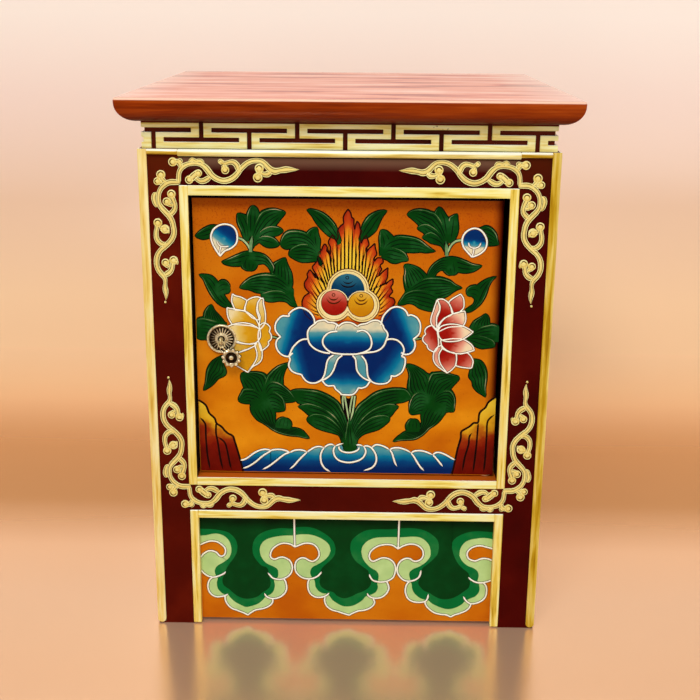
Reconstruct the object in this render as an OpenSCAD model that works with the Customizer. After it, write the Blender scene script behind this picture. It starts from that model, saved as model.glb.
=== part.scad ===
// Painted bedside cabinet: a framed body on four posts, one painted door on
// pivot pins, a fretwork frieze and an overhanging top board. Millimetres.
// X runs to the right, Y away from the viewer, Z up. The origin is on the
// floor, under the middle of the top board.

/* [Cabinet] */
// Width over the gilt corner strips
body_w = 420; // [390:5:470]
// Depth from the gilt front plane to the back of the rear posts
body_d = 400; // [350:5:450]
// Height from the floor to the top surface
overall_h = 581; // [560:1:640]

/* [Top board] */
// Thickness of the top board
top_t = 24; // [18:1:28]
// Reach of the top board past the body on every side
top_overhang = 18; // [15:1:30]
// Inward run of the rounding under the edge
top_round = 20; // [8:1:20]
// Radius of the upper arris
top_arris = 2.5; // [1:0.5:5]
// Radius of the board's corners, seen from above
top_corner_r = 2; // [2:1:16]
// Width of the cleats that hold the top
cleat_w = 18; // [14:1:24]
// Height of the cleats that hold the top
cleat_h = 18; // [14:1:18]

/* [Posts and rails] */
// Face width of a post with its gilt strip
post_w = 40; // [36:1:48]
// Depth of every rail, front to back
rail_t = 32; // [28:1:34]
// Height of the top rails
rail_top_h = 36; // [30:1:44]
// Height of the bottom rails
rail_bottom_h = 30; // [26:1:38]
// Thickness of the rail tenons
tenon_t = 10; // [8:1:12]
// Length of the rail tenons
tenon_l = 15; // [10:1:15]
// Step above or below a tenon where the rail has no groove
tenon_shoulder = 4; // [3:1:5]

/* [Gilt strips] */
// Width of the gilt strips round the door, the apron and the corners
strip_w = 9; // [7:0.5:10]
// Height of the gilt strip over the door
lining_top_w = 10; // [8:0.5:12]
// How far the gilt strips stand in front of the posts
strip_proud = 1.5; // [1:0.5:2.5]
// Gap between the ends of the gilt strips and the floor
strip_lift = 1.5; // [1:0.5:3]
// Height of the bead along the top rail
bead_h = 7; // [6:0.5:8]
// Height of the short beads on the posts
post_bead_h = 5.5; // [4:0.5:6]

/* [Frieze] */
// Height of the frieze under the top board
frieze_h = 27; // [27:1:34]
// Thickness of the frieze boards
frieze_t = 16; // [14:1:20]
// Set-back of the fret's face behind the gilt front plane
frieze_inset = 4; // [3:1:8]
// Diameter of the dowels between posts and frieze
dowel_d = 8; // [6:1:8]
// Length of the dowels between posts and frieze
dowel_l = 24; // [20:1:30]

/* [Key fret] */
// Thickness of the pierced fret
fret_t = 3; // [2:0.5:4]
// Width of the fret's grooves
fret_groove = 4.6; // [3.6:0.2:5.4]
// Distance from one key's stem to the next
fret_pitch = 47.5; // [46:0.5:52]
// Length of each key's bar
fret_bar = 75; // [68:1:76]
// Height of the lower bars over the frieze's foot
fret_low = 8.8; // [8:0.1:9.5]
// Height of the upper bars over the frieze's foot
fret_high = 18.3; // [17.5:0.1:19]
// Sideways place of the middle stem
fret_shift = -4; // [-12:1:12]

/* [Panels] */
// Thickness of the side panels
side_panel_t = 8; // [6:1:10]
// Thickness of the back panel
back_panel_t = 6; // [5:1:10]
// Depth of the grooves that hold the panels
groove_d = 8; // [6:1:8]
// Thickness of the cupboard's floor board
floor_t = 9; // [8:1:14]

/* [Apron] */
// Height of the bottom rails' underside above the floor
apron_h = 139; // [110:1:160]
// Set-back of the apron behind the gilt front plane
apron_recess = 7; // [5:0.5:10]
// Thickness of the apron boards
apron_t = 12; // [10:1:16]
// Gap between the apron and the floor
apron_lift = 4; // [3:1:20]

/* [Door] */
// Thickness of the door
door_t = 16; // [14:1:20]
// Set-back of the door's face behind the gilt front plane
door_recess = 12; // [8:1:14]
// Gap over, under and left of the door
door_gap = 2; // [1.5:0.5:3]
// Gap at the hinge edge of the door
hinge_gap = 3; // [2:0.5:4]
// Height of each batten on the back of the door
batten_h = 30; // [24:1:40]
// Thickness of the battens on the back of the door
batten_t = 12; // [8:1:14]
// Distance of the battens from the door's upper and lower edges
batten_inset = 36; // [30:1:60]
// Thickness of the stop strip behind the door
stop_t = 12; // [10:1:16]
// Overlap of the stop strip behind the door
stop_lap = 6; // [4:1:8]
// Height of the catch and its plate
catch_h = 44; // [30:2:60]
// Width of the catch and its plate
catch_w = 12; // [8:1:14]
// Length of the catch, front to back
catch_l = 20; // [14:1:26]
// Thickness of the catch's plate on the door
plate_t = 1; // [1:0.5:2]

/* [Door pivots] */
// Diameter of the pivot pins
pin_d = 6; // [5:0.5:7]
// Length of each pin inside the door
pin_grip = 20; // [14:1:30]
// Outer diameter of the pivot bushes
bush_d = 9; // [9:0.5:12]
// Diameter of the flange that carries the door
flange_d = 12; // [12:0.5:15]

/* [Pull] */
// Diameter of the rosette
rosette_d = 31; // [28:0.5:40]
// Distance of the pull from the door's left edge
pull_inset = 26.7; // [24:0.1:40]
// Sideways tilt at which the drop hangs
pull_tilt = 35; // [0:1:50]
// Ribs in the dish of the rosette
rosette_ribs = 22; // [12:1:26]
// Diameter of the eye bolt's shank
shank_d = 3.6; // [3:0.2:4]
// Radius of the eye, to the middle of its wire
eye_r = 3; // [3:0.1:3.6]
// Thickness of the eye's wire
eye_wire = 1.9; // [1.7:0.1:2]
// Radius of the link, to the middle of its wire
link_r = 3.2; // [3.2:0.1:4]
// Thickness of the link's and the drop's wire
link_wire = 1.6; // [1.4:0.1:1.7]
// Radius of the drop's own loop, to the middle of its wire
loop_r = 2.6; // [2.6:0.1:3.2]
// Radius of the drop's dish
drop_r = 8.8; // [7:0.1:10]
// Radius of the round petals on the drop's rim
petal_r = 2; // [1.6:0.1:2.4]
// Petals round the drop's rim
petals = 11; // [8:1:12]

/* [Clearances] */
// Gap round tenons, tongues and dowels
joint_gap = 0.15; // [0.1:0.05:0.3]
// Gap between a piece and the seat it doesn't press on
seat_gap = 0.3; // [0.2:0.05:0.5]
// Gap between a pivot pin and its bush, on the radius
running_gap = 0.05; // [0.03:0.01:0.08]
// Gap between a fixed pin and its hole, on the radius
fixed_gap = 0.02; // [0.01:0.01:0.04]
// Gap between the wires of the eye, the link and the drop
wire_gap = 0.25; // [0.2:0.05:0.4]

/* [Hidden] */
$fn = 64;

maroon = "#4a0c08";
gold = "#d8ba50";
orange = "#d8761a";
walnut = "#7c3418";
raw_wood = "#b98c5c";
green = "#16562c";
brass = "#9c8040";
steel = "#b8b8b4";

// Planes of the body
half_w = body_w / 2;
front_y = -body_d / 2;
rear_y = body_d / 2;
side_x = half_w - strip_proud;
face_y = front_y + strip_proud;
open_x = half_w - post_w;
post_back_y = front_y + post_w;
rear_post_y = rear_y - post_w;

// Heights of the body
top_z = overall_h - top_t;
post_h = top_z - frieze_h;
rail_low_0 = apron_h;
rail_low_1 = apron_h + rail_bottom_h;
rail_high_0 = post_h - rail_top_h;
rail_high_1 = post_h;
floor_z = rail_low_1 + floor_t;

// Middle planes of the rails, their tenons and the panels
front_mid = face_y + rail_t / 2;
rear_mid = rear_y - rail_t / 2;
side_mid = side_x - rail_t / 2;
tenon_low = [rail_low_0 + tenon_shoulder, rail_low_1 - groove_d - 2];
tenon_high = [rail_high_0 + groove_d + 2, rail_high_1 - tenon_shoulder];

// Frieze
frieze_back_off = frieze_inset + fret_t;
frieze_x = half_w - frieze_back_off;
frieze_front_y = front_y + frieze_back_off;
frieze_rear_y = rear_y - frieze_back_off;
fret_x = half_w - frieze_inset;
fret_y = front_y + frieze_inset;
dowel_x = frieze_x - frieze_t / 2;
dowel_front_y = frieze_front_y + frieze_t / 2;
dowel_rear_y = frieze_rear_y - frieze_t / 2;
key_first = -ceil((fret_x + body_d) / fret_pitch) - 1;
key_last = -key_first;
// Length of a side fret, behind the front one
fret_side_l = frieze_rear_y - frieze_front_y;

// Edge of the top board: the inward run, which ends 2 mm or more outside the
// fret, the straight part over it, and the number of steps on either curve
edge_run = min(top_round, top_overhang + frieze_inset - 2);
top_land = 1.5;
top_arris_steps = 5;
top_round_steps = 14;

// Screws that draw the top board onto its cleats
screw_d = 4;
screw_head_d = 8;
screw_head_h = 3;
screw_in_top = 14;
screw_y = body_d / 4;

// Door and its opening
door_open_x = open_x - strip_w;
door_z0 = rail_low_1 + strip_w + door_gap;
door_z1 = rail_high_0 - lining_top_w - door_gap;
door_left = -door_open_x + door_gap;
door_front_y = front_y + door_recess;
door_back_y = door_front_y + door_t;
pivot_r = door_t / 2;
pivot_x = door_open_x - hinge_gap - pivot_r;
pivot_y = door_front_y + pivot_r;
lining_back_y = door_back_y + seat_gap;
stop_right = -door_open_x + door_gap + stop_lap;
catch_x0 = stop_right;
catch_mid_z = (door_z0 + door_z1) / 2;
batten_bevel = 4;

// Pull
pull_x = door_left + pull_inset;
pull_z = (door_z0 + door_z1) / 2;
hub_h = 3.4;
eye_y = door_front_y - hub_h - eye_r - eye_wire / 2 - 1.15;
nut_t = 3.2;
nut_d = 8;
// From the middle of the eye's wire to the middle of the link's wire
hang = eye_wire / 2 + link_wire / 2 + wire_gap;
link_drop = 2 * link_r - hang;
loop_hang = link_wire + wire_gap;
loop_mid = loop_r - loop_hang;
drop_mid = loop_mid + loop_r + link_wire / 2 + drop_r + 1.3;

// A box from its lowest to its highest corner
module block(lo, hi) {
  translate(lo) cube(hi - lo);
}

// The same piece on the left, turned over the middle plane
module on_left() {
  mirror([1, 0, 0]) children();
}

// A ring of round wire about the Z axis
module wire_ring(r, wire) {
  rotate_extrude() translate([r, 0]) circle(d = wire, $fn = 32);
}

// Edge of the top board: a quarter round at the upper arris, a short
// straight part, then turning under on a quarter ellipse
function edge_curve(half, side) =
  let (start = top_arris + top_land)
  concat(
    [for (k = [0:top_arris_steps])
      let (a = 90 * k / top_arris_steps)
        [side * (half - top_arris * (1 - sin(a))), -top_arris * (1 - cos(a))]],
    [for (k = [0:top_round_steps])
      let (a = 90 * k / top_round_steps)
        [side * (half - edge_run * (1 - cos(a))), -start - (top_t - start) * sin(a)]]
  );

module top_section(half) {
  right = edge_curve(half, 1);
  left = edge_curve(half, -1);
  polygon(concat(right, [for (k = [len(left) - 1:-1:0]) left[k]]));
}

// Outline of the top board, seen from above
module top_outline(half_x, half_y) {
  square([2 * (half_x - top_corner_r), 2 * half_y], center = true);
  square([2 * half_x, 2 * (half_y - top_corner_r)], center = true);
  for (side = [-1, 1], row = [-1, 1])
    translate([side * (half_x - top_corner_r), row * (half_y - top_corner_r)])
      circle(r = top_corner_r);
}

// Places of the screws, as a loop over both cleats
module at_screws() {
  for (side = [-1, 1], row = [-1, 1])
    translate([side * (frieze_x - frieze_t - cleat_w / 2), row * screw_y, top_z])
      children();
}

module top_board() {
  top_half_w = half_w + top_overhang;
  top_half_d = body_d / 2 + top_overhang;
  color(walnut) difference() {
    intersection() {
      translate([0, 0, overall_h]) rotate([90, 0, 0])
        linear_extrude(2 * top_half_d, center = true) top_section(top_half_w);
      translate([0, 0, overall_h]) rotate([90, 0, 90])
        linear_extrude(2 * top_half_w, center = true) top_section(top_half_d);
      translate([0, 0, top_z]) linear_extrude(top_t) top_outline(top_half_w, top_half_d);
    }
    at_screws() translate([0, 0, -1])
      cylinder(d = screw_d + 2 * fixed_gap, h = screw_in_top + 2);
  }
}

module top_cleat_right() {
  inner = frieze_x - frieze_t;
  color(raw_wood) difference() {
    block([inner - cleat_w, frieze_front_y + frieze_t, top_z - cleat_h],
          [inner, frieze_rear_y - frieze_t, top_z]);
    at_screws() {
      translate([0, 0, -cleat_h - 1])
        cylinder(d = screw_d + 2 * joint_gap, h = cleat_h + 2);
      translate([0, 0, -cleat_h - 1])
        cylinder(d = screw_head_d + 2 * joint_gap, h = screw_head_h + 1);
    }
  }
}

module top_screws() {
  color(steel) at_screws() {
    translate([0, 0, -cleat_h + screw_head_h - 0.1])
      cylinder(d = screw_d, h = cleat_h - screw_head_h + 0.1 + screw_in_top);
    translate([0, 0, -cleat_h]) cylinder(d = screw_head_d, h = screw_head_h);
  }
}

// Dowels that stand half in the posts and half in the frieze
module at_dowels() {
  for (side = [-1, 1], y = [dowel_front_y, dowel_rear_y])
    translate([side * dowel_x, y, post_h]) children();
}

module dowel_holes() {
  at_dowels() cylinder(d = dowel_d + 2 * joint_gap, h = dowel_l + 2 * seat_gap, center = true);
}

module frieze_dowels() {
  color(raw_wood) at_dowels() cylinder(d = dowel_d, h = dowel_l, center = true);
}

module frieze_front() {
  color(maroon) difference() {
    block([-frieze_x, frieze_front_y, post_h], [frieze_x, frieze_front_y + frieze_t, top_z]);
    dowel_holes();
  }
}

module frieze_back() {
  color(maroon) difference() {
    block([-frieze_x, frieze_rear_y - frieze_t, post_h], [frieze_x, frieze_rear_y, top_z]);
    dowel_holes();
  }
}

module frieze_right() {
  color(maroon)
    block([frieze_x - frieze_t, frieze_front_y + frieze_t, post_h],
          [frieze_x, frieze_rear_y - frieze_t, top_z]);
}

// One key of the fret: a level bar with a stem at its middle. Even keys hang
// from the upper bar, odd keys stand on the lower bar.
module fret_key(i) {
  x = fret_shift + i * fret_pitch;
  hanging = (i % 2 == 0);
  bar_z = hanging ? fret_high : fret_low;
  translate([x - fret_bar / 2, bar_z - fret_groove / 2]) square([fret_bar, fret_groove]);
  if (hanging)
    translate([x - fret_groove / 2, -1]) square([fret_groove, bar_z + 1]);
  else
    translate([x - fret_groove / 2, bar_z]) square([fret_groove, frieze_h - bar_z + 1]);
}

// A stretch of the fret between two distances along the strip. The keys run
// on round the corners, so every side reads the same row.
module fret_run(from, to) {
  difference() {
    translate([from, 0]) square([to - from, frieze_h]);
    for (i = [key_first:key_last])
      if (fret_shift + i * fret_pitch + fret_bar > from
          && fret_shift + i * fret_pitch - fret_bar < to)
        fret_key(i);
  }
}

module fret_front() {
  color(gold) translate([0, fret_y + fret_t, post_h]) rotate([90, 0, 0])
    linear_extrude(fret_t) fret_run(-fret_x, fret_x);
}

module fret_right() {
  start = fret_x + fret_t;
  color(gold) translate([frieze_x, frieze_front_y - start, post_h]) rotate([90, 0, 90])
    linear_extrude(fret_t) fret_run(start, start + fret_side_l);
}

module fret_left() {
  start = fret_x + fret_t;
  color(gold) translate([-frieze_x - fret_t, frieze_front_y - start, post_h]) rotate([90, 0, 90])
    linear_extrude(fret_t) mirror([1, 0]) fret_run(-start - fret_side_l, -start);
}

// A hole for a tenon, a joint gap larger than the tenon all round
module mortise_from_x(mid_y, z) {
  block([open_x - 1, mid_y - tenon_t / 2 - joint_gap, z[0] - joint_gap],
        [open_x + tenon_l + seat_gap, mid_y + tenon_t / 2 + joint_gap, z[1] + joint_gap]);
}

module post_front_right() {
  color(maroon) difference() {
    block([open_x, face_y, 0], [side_x, post_back_y, post_h]);
    mortise_from_x(front_mid, tenon_low);
    mortise_from_x(front_mid, tenon_high);
    for (z = [tenon_low, tenon_high])
      block([side_mid - tenon_t / 2 - joint_gap, post_back_y - tenon_l - seat_gap, z[0] - joint_gap],
            [side_mid + tenon_t / 2 + joint_gap, post_back_y + 1, z[1] + joint_gap]);
    block([side_mid - side_panel_t / 2 - joint_gap, post_back_y - groove_d, rail_low_1 - groove_d],
          [side_mid + side_panel_t / 2 + joint_gap, post_back_y + 1, rail_high_0 + groove_d]);
    dowel_holes();
  }
}

module post_rear_right() {
  color(maroon) difference() {
    block([open_x, rear_post_y, 0], [side_x, rear_y, post_h]);
    mortise_from_x(rear_mid, tenon_low);
    mortise_from_x(rear_mid, tenon_high);
    for (z = [tenon_low, tenon_high])
      block([side_mid - tenon_t / 2 - joint_gap, rear_post_y - 1, z[0] - joint_gap],
            [side_mid + tenon_t / 2 + joint_gap, rear_post_y + tenon_l + seat_gap, z[1] + joint_gap]);
    block([side_mid - side_panel_t / 2 - joint_gap, rear_post_y - 1, rail_low_1 - groove_d],
          [side_mid + side_panel_t / 2 + joint_gap, rear_post_y + groove_d, rail_high_0 + groove_d]);
    block([open_x - 1, rear_mid - back_panel_t / 2 - joint_gap, rail_low_1 - groove_d],
          [open_x + groove_d, rear_mid + back_panel_t / 2 + joint_gap, rail_high_0 + groove_d]);
    dowel_holes();
  }
}

// A gilt strip of the given width whose foot is rounded
module strip_outline(width, height) {
  translate([0, strip_lift + width / 2]) square([width, height - strip_lift - width / 2]);
  translate([width / 2, strip_lift + width / 2]) circle(d = width);
}

module corner_strip_right() {
  color(gold) {
    translate([half_w - strip_w, face_y, 0]) rotate([90, 0, 0])
      linear_extrude(strip_proud) strip_outline(strip_w, post_h);
    translate([side_x, front_y, 0]) rotate([90, 0, 90])
      linear_extrude(strip_proud) strip_outline(strip_w, post_h);
  }
}

// A rail along X with a tenon at each end
module rail_x(y0, z0, z1, tenon_z) {
  mid = y0 + rail_t / 2;
  block([-open_x, y0, z0], [open_x, y0 + rail_t, z1]);
  block([-open_x - tenon_l, mid - tenon_t / 2, tenon_z[0]],
        [open_x + tenon_l, mid + tenon_t / 2, tenon_z[1]]);
}

module rail_front_top() {
  color(maroon) rail_x(face_y, rail_high_0, rail_high_1, tenon_high);
}

module rail_front_bottom() {
  color(maroon) rail_x(face_y, rail_low_0, rail_low_1, tenon_low);
}

module back_groove(z0, z1) {
  block([-body_w, rear_mid - back_panel_t / 2 - joint_gap, z0],
        [body_w, rear_mid + back_panel_t / 2 + joint_gap, z1]);
}

module rail_rear_top() {
  color(maroon) difference() {
    rail_x(rear_y - rail_t, rail_high_0, rail_high_1, tenon_high);
    back_groove(rail_high_0 - 1, rail_high_0 + groove_d);
  }
}

module rail_rear_bottom() {
  color(maroon) difference() {
    rail_x(rear_y - rail_t, rail_low_0, rail_low_1, tenon_low);
    back_groove(rail_low_1 - groove_d, rail_low_1 + 1);
  }
}

// A rail along Y on the right, grooved for the side panel
module side_rail(z0, z1, tenon_z, groove_z) {
  difference() {
    union() {
      block([side_x - rail_t, post_back_y, z0], [side_x, rear_post_y, z1]);
      block([side_mid - tenon_t / 2, post_back_y - tenon_l, tenon_z[0]],
            [side_mid + tenon_t / 2, rear_post_y + tenon_l, tenon_z[1]]);
    }
    block([side_mid - side_panel_t / 2 - joint_gap, -body_d, groove_z[0]],
          [side_mid + side_panel_t / 2 + joint_gap, body_d, groove_z[1]]);
  }
}

module rail_right_top() {
  color(maroon)
    side_rail(rail_high_0, rail_high_1, tenon_high, [rail_high_0 - 1, rail_high_0 + groove_d]);
}

module rail_right_bottom() {
  color(maroon)
    side_rail(rail_low_0, rail_low_1, tenon_low, [rail_low_1 - groove_d, rail_low_1 + 1]);
}

// A half-round bead with its flat back on the face of the posts
module bead(x0, x1, height) {
  translate([x0, face_y, post_h - height / 2]) rotate([90, 0, 90])
    linear_extrude(x1 - x0) intersection() {
      union() {
        translate([-height / 7, 0]) circle(d = height, $fn = 48);
        translate([-height / 7, -height / 2]) square([height, height]);
      }
      translate([-height, -height / 2]) square([height, height]);
    }
}

module bead_front() {
  color(gold) bead(-open_x, open_x, bead_h);
}

module bead_post_right() {
  color(gold) bead(open_x, half_w - strip_w, post_bead_h);
}

// The gilt linings of the door's opening
module lining_right() {
  color(gold) block([door_open_x, front_y, rail_low_1], [open_x, lining_back_y, rail_high_0]);
}

module lining_top() {
  color(gold) difference() {
    block([-door_open_x, front_y, rail_high_0 - lining_top_w],
          [door_open_x, lining_back_y, rail_high_0]);
    translate([pivot_x, pivot_y, rail_high_0 - lining_top_w - 1])
      cylinder(d = bush_d + 2 * fixed_gap, h = lining_top_w + 2);
  }
}

module lining_bottom() {
  color(gold) difference() {
    block([-door_open_x, front_y, rail_low_1], [door_open_x, lining_back_y, rail_low_1 + strip_w]);
    translate([pivot_x, pivot_y, rail_low_1 - 1])
      cylinder(d = bush_d + 2 * fixed_gap, h = strip_w + 2);
  }
}

// Apron boards between the posts, with gilt strips planted on the front one
module apron_front() {
  y0 = front_y + apron_recess;
  color(green) block([-open_x, y0, apron_lift], [open_x, y0 + apron_t, rail_low_0]);
}

module apron_right() {
  x1 = half_w - apron_recess;
  color(maroon) block([x1 - apron_t, post_back_y, apron_lift], [x1, rear_post_y, rail_low_0]);
}

module apron_strip_right() {
  color(gold)
    block([door_open_x, front_y, strip_lift],
          [open_x, front_y + apron_recess, rail_low_0]);
}

module apron_strip_top() {
  color(gold)
    block([-door_open_x, front_y, rail_low_0 - strip_w],
          [door_open_x, front_y + apron_recess, rail_low_0]);
}

// Side and back panels, free to move in their grooves
module side_panel_right() {
  reach = groove_d - seat_gap;
  color(maroon)
    block([side_mid - side_panel_t / 2, post_back_y - reach, rail_low_1 - reach],
          [side_mid + side_panel_t / 2, rear_post_y + reach, rail_high_0 + reach]);
}

module back_panel() {
  reach = groove_d - seat_gap;
  color(raw_wood)
    block([-open_x - reach, rear_mid - back_panel_t / 2, rail_low_1 - reach],
          [open_x + reach, rear_mid + back_panel_t / 2, rail_high_0 + reach]);
}

// The floor board lies on the bottom rails and is notched round the posts
module cabinet_floor() {
  x1 = side_mid - side_panel_t / 2 - seat_gap;
  y0 = lining_back_y + seat_gap;
  y1 = rear_mid - back_panel_t / 2 - seat_gap;
  color(raw_wood) difference() {
    block([-x1, y0, rail_low_1], [x1, y1, floor_z]);
    for (side = [-1, 1], y = [[-body_d, post_back_y + seat_gap], [rear_post_y - seat_gap, body_d]])
      translate([side * (open_x - seat_gap + body_w / 2), (y[0] + y[1]) / 2, floor_z])
        cube([body_w, y[1] - y[0], 4 * floor_t], center = true);
  }
}

// The strip that the closed door's left edge comes to rest on
module door_stop() {
  color(maroon)
    block([-open_x, lining_back_y, floor_z], [stop_right, lining_back_y + stop_t, rail_high_0]);
}

// A magnetic catch on the stop strip and its plate on the door
module catch() {
  color(steel)
    block([catch_x0, door_back_y + plate_t + seat_gap, catch_mid_z - catch_h / 2],
          [catch_x0 + catch_w, door_back_y + plate_t + seat_gap + catch_l, catch_mid_z + catch_h / 2]);
}

module catch_plate() {
  color(steel)
    block([catch_x0 + seat_gap, door_back_y, catch_mid_z - catch_h / 2],
          [catch_x0 + catch_w, door_back_y + plate_t, catch_mid_z + catch_h / 2]);
}

// The door board: its hinge edge is round about the pivot axis
module door_panel() {
  color(orange) difference() {
    union() {
      block([door_left, door_front_y, door_z0], [pivot_x, door_back_y, door_z1]);
      translate([pivot_x, pivot_y, door_z0]) cylinder(r = pivot_r, h = door_z1 - door_z0);
    }
    for (z = [door_z0 - 1, door_z1 - pin_grip - seat_gap])
      translate([pivot_x, pivot_y, z])
        cylinder(d = pin_d + 2 * fixed_gap, h = pin_grip + seat_gap + 1);
    translate([pull_x, door_back_y + 1, pull_z]) rotate([90, 0, 0])
      cylinder(d = shank_d + 2 * fixed_gap, h = door_t + 2);
  }
}

// Two battens across the back of the door, bevelled at their ends
module door_battens() {
  x0 = stop_right + 8;
  x1 = pivot_x - 25;
  y1 = door_back_y + batten_t;
  color(raw_wood)
    for (z = [door_z0 + batten_inset, door_z1 - batten_inset - batten_h])
      translate([0, 0, z]) linear_extrude(batten_h)
        polygon([[x0, door_back_y], [x1, door_back_y],
                 [x1 - batten_bevel, y1], [x0 + batten_bevel, y1]]);
}

// Pivot pins: fast in the door, free to turn in the bushes
module pivot_pin_top() {
  color(brass) translate([pivot_x, pivot_y, door_z1 - pin_grip])
    cylinder(d = pin_d, h = pin_grip + door_gap + lining_top_w - seat_gap);
}

module pivot_pin_bottom() {
  color(brass) translate([pivot_x, pivot_y, rail_low_1 + seat_gap])
    cylinder(d = pin_d, h = strip_w - seat_gap + door_gap + pin_grip);
}

module pivot_bush_top() {
  color(brass) translate([pivot_x, pivot_y, rail_high_0 - lining_top_w]) difference() {
    cylinder(d = bush_d, h = lining_top_w);
    translate([0, 0, -1]) cylinder(d = pin_d + 2 * running_gap, h = lining_top_w + 2);
  }
}

// The lower bush has a flange that carries the door's weight
module pivot_bush_bottom() {
  color(brass) translate([pivot_x, pivot_y, rail_low_1]) difference() {
    union() {
      cylinder(d = bush_d, h = strip_w + door_gap - seat_gap);
      translate([0, 0, strip_w]) cylinder(d = flange_d, h = door_gap - seat_gap);
    }
    translate([0, 0, -1]) cylinder(d = pin_d + 2 * running_gap, h = strip_w + door_gap + 2);
  }
}

// Rosette: raised rim, ribbed dish and a raised hub with a socket for the eye
module pull_rosette() {
  rim = rosette_d / 2;
  bore = shank_d / 2 + fixed_gap;
  rib_l = rim - 8.6;
  color(brass) translate([pull_x, door_front_y, pull_z]) rotate([90, 0, 0]) difference() {
    union() {
      rotate_extrude() polygon([
        [0, 0], [rim, 0], [rim, 1.6], [rim - 1.9, 1.6], [rim - 2.6, 1], [6.6, 1.5],
        [5.6, 2.6], [5.1, hub_h], [3.9, hub_h], [3.3, 1.6], [0, 1.6]
      ]);
      translate([0, 0, 1.6]) wire_ring(rim - 0.95, 1.9);
      for (i = [0:rosette_ribs - 1])
        rotate([0, 0, 360 * i / rosette_ribs]) translate([6.2, -0.45, 0.8]) cube([rib_l, 0.9, 1.3]);
    }
    translate([0, 0, -1]) cylinder(r = bore, h = hub_h + 2);
  }
}

// Eye bolt: a ring of wire on a shank that passes through the door
module pull_eye() {
  shank_end = door_back_y + nut_t + 1.2;
  shank_start = eye_y + eye_r;
  color(brass) {
    translate([pull_x, shank_end, pull_z]) rotate([90, 0, 0])
      cylinder(d = shank_d, h = shank_end - shank_start);
    translate([pull_x, eye_y, pull_z]) rotate([0, 90, 0]) wire_ring(eye_r, eye_wire);
  }
}

module pull_nut() {
  color(brass) translate([pull_x, door_back_y + nut_t, pull_z]) rotate([90, 0, 0]) difference() {
    cylinder(d = nut_d, h = nut_t, $fn = 6);
    translate([0, 0, -1]) cylinder(r = shank_d / 2 + fixed_gap, h = nut_t + 2);
  }
}

// Puts its children at the eye's lower wire, hanging a little sideways
module at_eye() {
  translate([pull_x, eye_y, pull_z - eye_r]) rotate([0, -pull_tilt, 0]) children();
}

module pull_link() {
  color(brass) at_eye() translate([0, 0, hang - link_r]) rotate([90, 0, 0])
    wire_ring(link_r, link_wire);
}

// Drop: a loop, a short neck and a dish with round petals and a boss
module pull_drop() {
  neck_top = loop_mid + loop_r + link_wire / 2 - 0.4;
  neck_foot = drop_mid - drop_r + 1;
  color(brass) at_eye() translate([0, 0, -link_drop]) {
    translate([0, 0, -loop_mid]) rotate([0, 90, 0]) wire_ring(loop_r, link_wire);
    translate([0, 0, -neck_foot]) cylinder(r1 = 2.6, r2 = 1.2, h = neck_foot - neck_top);
    translate([0, 0, -drop_mid]) rotate([90, 0, 0]) {
      difference() {
        translate([0, 0, -1.4]) cylinder(r = drop_r, h = 2.8);
        translate([0, 0, 0.5]) cylinder(r1 = drop_r - 3.4, r2 = drop_r - 1.6, h = 1.4);
      }
      translate([0, 0, 0.2]) sphere(r = 2.6);
      for (i = [0:petals - 1])
        rotate([0, 0, 90 + 360 * (i + 0.5) / petals]) translate([drop_r, 0, 0]) sphere(r = petal_r);
    }
  }
}

top_board();
on_left() top_cleat_right();  // top_cleat_left
top_cleat_right();
top_screws();
frieze_front();
frieze_back();
on_left() frieze_right();  // frieze_left
frieze_right();
fret_front();
fret_left();
fret_right();
frieze_dowels();
on_left() post_front_right();  // post_front_left
post_front_right();
on_left() post_rear_right();  // post_rear_left
post_rear_right();
on_left() corner_strip_right();  // corner_strip_left
corner_strip_right();
rail_front_top();
rail_front_bottom();
rail_rear_top();
rail_rear_bottom();
on_left() rail_right_top();  // rail_left_top
on_left() rail_right_bottom();  // rail_left_bottom
rail_right_top();
rail_right_bottom();
bead_front();
on_left() bead_post_right();  // bead_post_left
bead_post_right();
on_left() lining_right();  // lining_left
lining_right();
lining_top();
lining_bottom();
on_left() apron_strip_right();  // apron_strip_left
apron_strip_right();
apron_strip_top();
apron_front();
on_left() apron_right();  // apron_left
apron_right();
on_left() side_panel_right();  // side_panel_left
side_panel_right();
back_panel();
cabinet_floor();
door_stop();
catch();
catch_plate();
door_panel();
door_battens();
pivot_pin_top();
pivot_pin_bottom();
pivot_bush_top();
pivot_bush_bottom();
pull_rosette();
pull_eye();
pull_nut();
pull_link();
pull_drop();
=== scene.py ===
# %% [markdown]
# # A painted nightstand
# This lesson dresses a small painted cabinet: a varnished top board, a frieze with a cut key
# fret, posts and rails in dark red with gilt strips and raised scrolls, and one door that
# carries a lotus with three jewels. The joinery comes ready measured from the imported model.
# Blender adds what joinery doesn't have: varnish, gilding, paint and relief.

# %% Load the joinery
import bpy
import bmesh
import numpy as np
from mathutils import Matrix, Vector


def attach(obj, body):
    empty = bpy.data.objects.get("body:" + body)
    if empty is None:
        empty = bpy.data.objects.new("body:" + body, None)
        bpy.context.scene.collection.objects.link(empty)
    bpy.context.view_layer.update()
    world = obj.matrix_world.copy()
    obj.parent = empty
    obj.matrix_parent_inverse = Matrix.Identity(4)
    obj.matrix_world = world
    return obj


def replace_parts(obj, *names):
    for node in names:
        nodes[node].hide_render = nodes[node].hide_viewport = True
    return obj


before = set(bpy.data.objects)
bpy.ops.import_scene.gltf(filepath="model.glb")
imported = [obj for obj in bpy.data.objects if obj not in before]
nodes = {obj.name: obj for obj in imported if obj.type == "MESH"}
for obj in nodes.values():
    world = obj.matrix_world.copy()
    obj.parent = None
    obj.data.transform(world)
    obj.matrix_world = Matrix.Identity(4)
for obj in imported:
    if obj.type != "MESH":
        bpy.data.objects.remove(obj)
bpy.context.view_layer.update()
scene = bpy.context.scene


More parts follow.
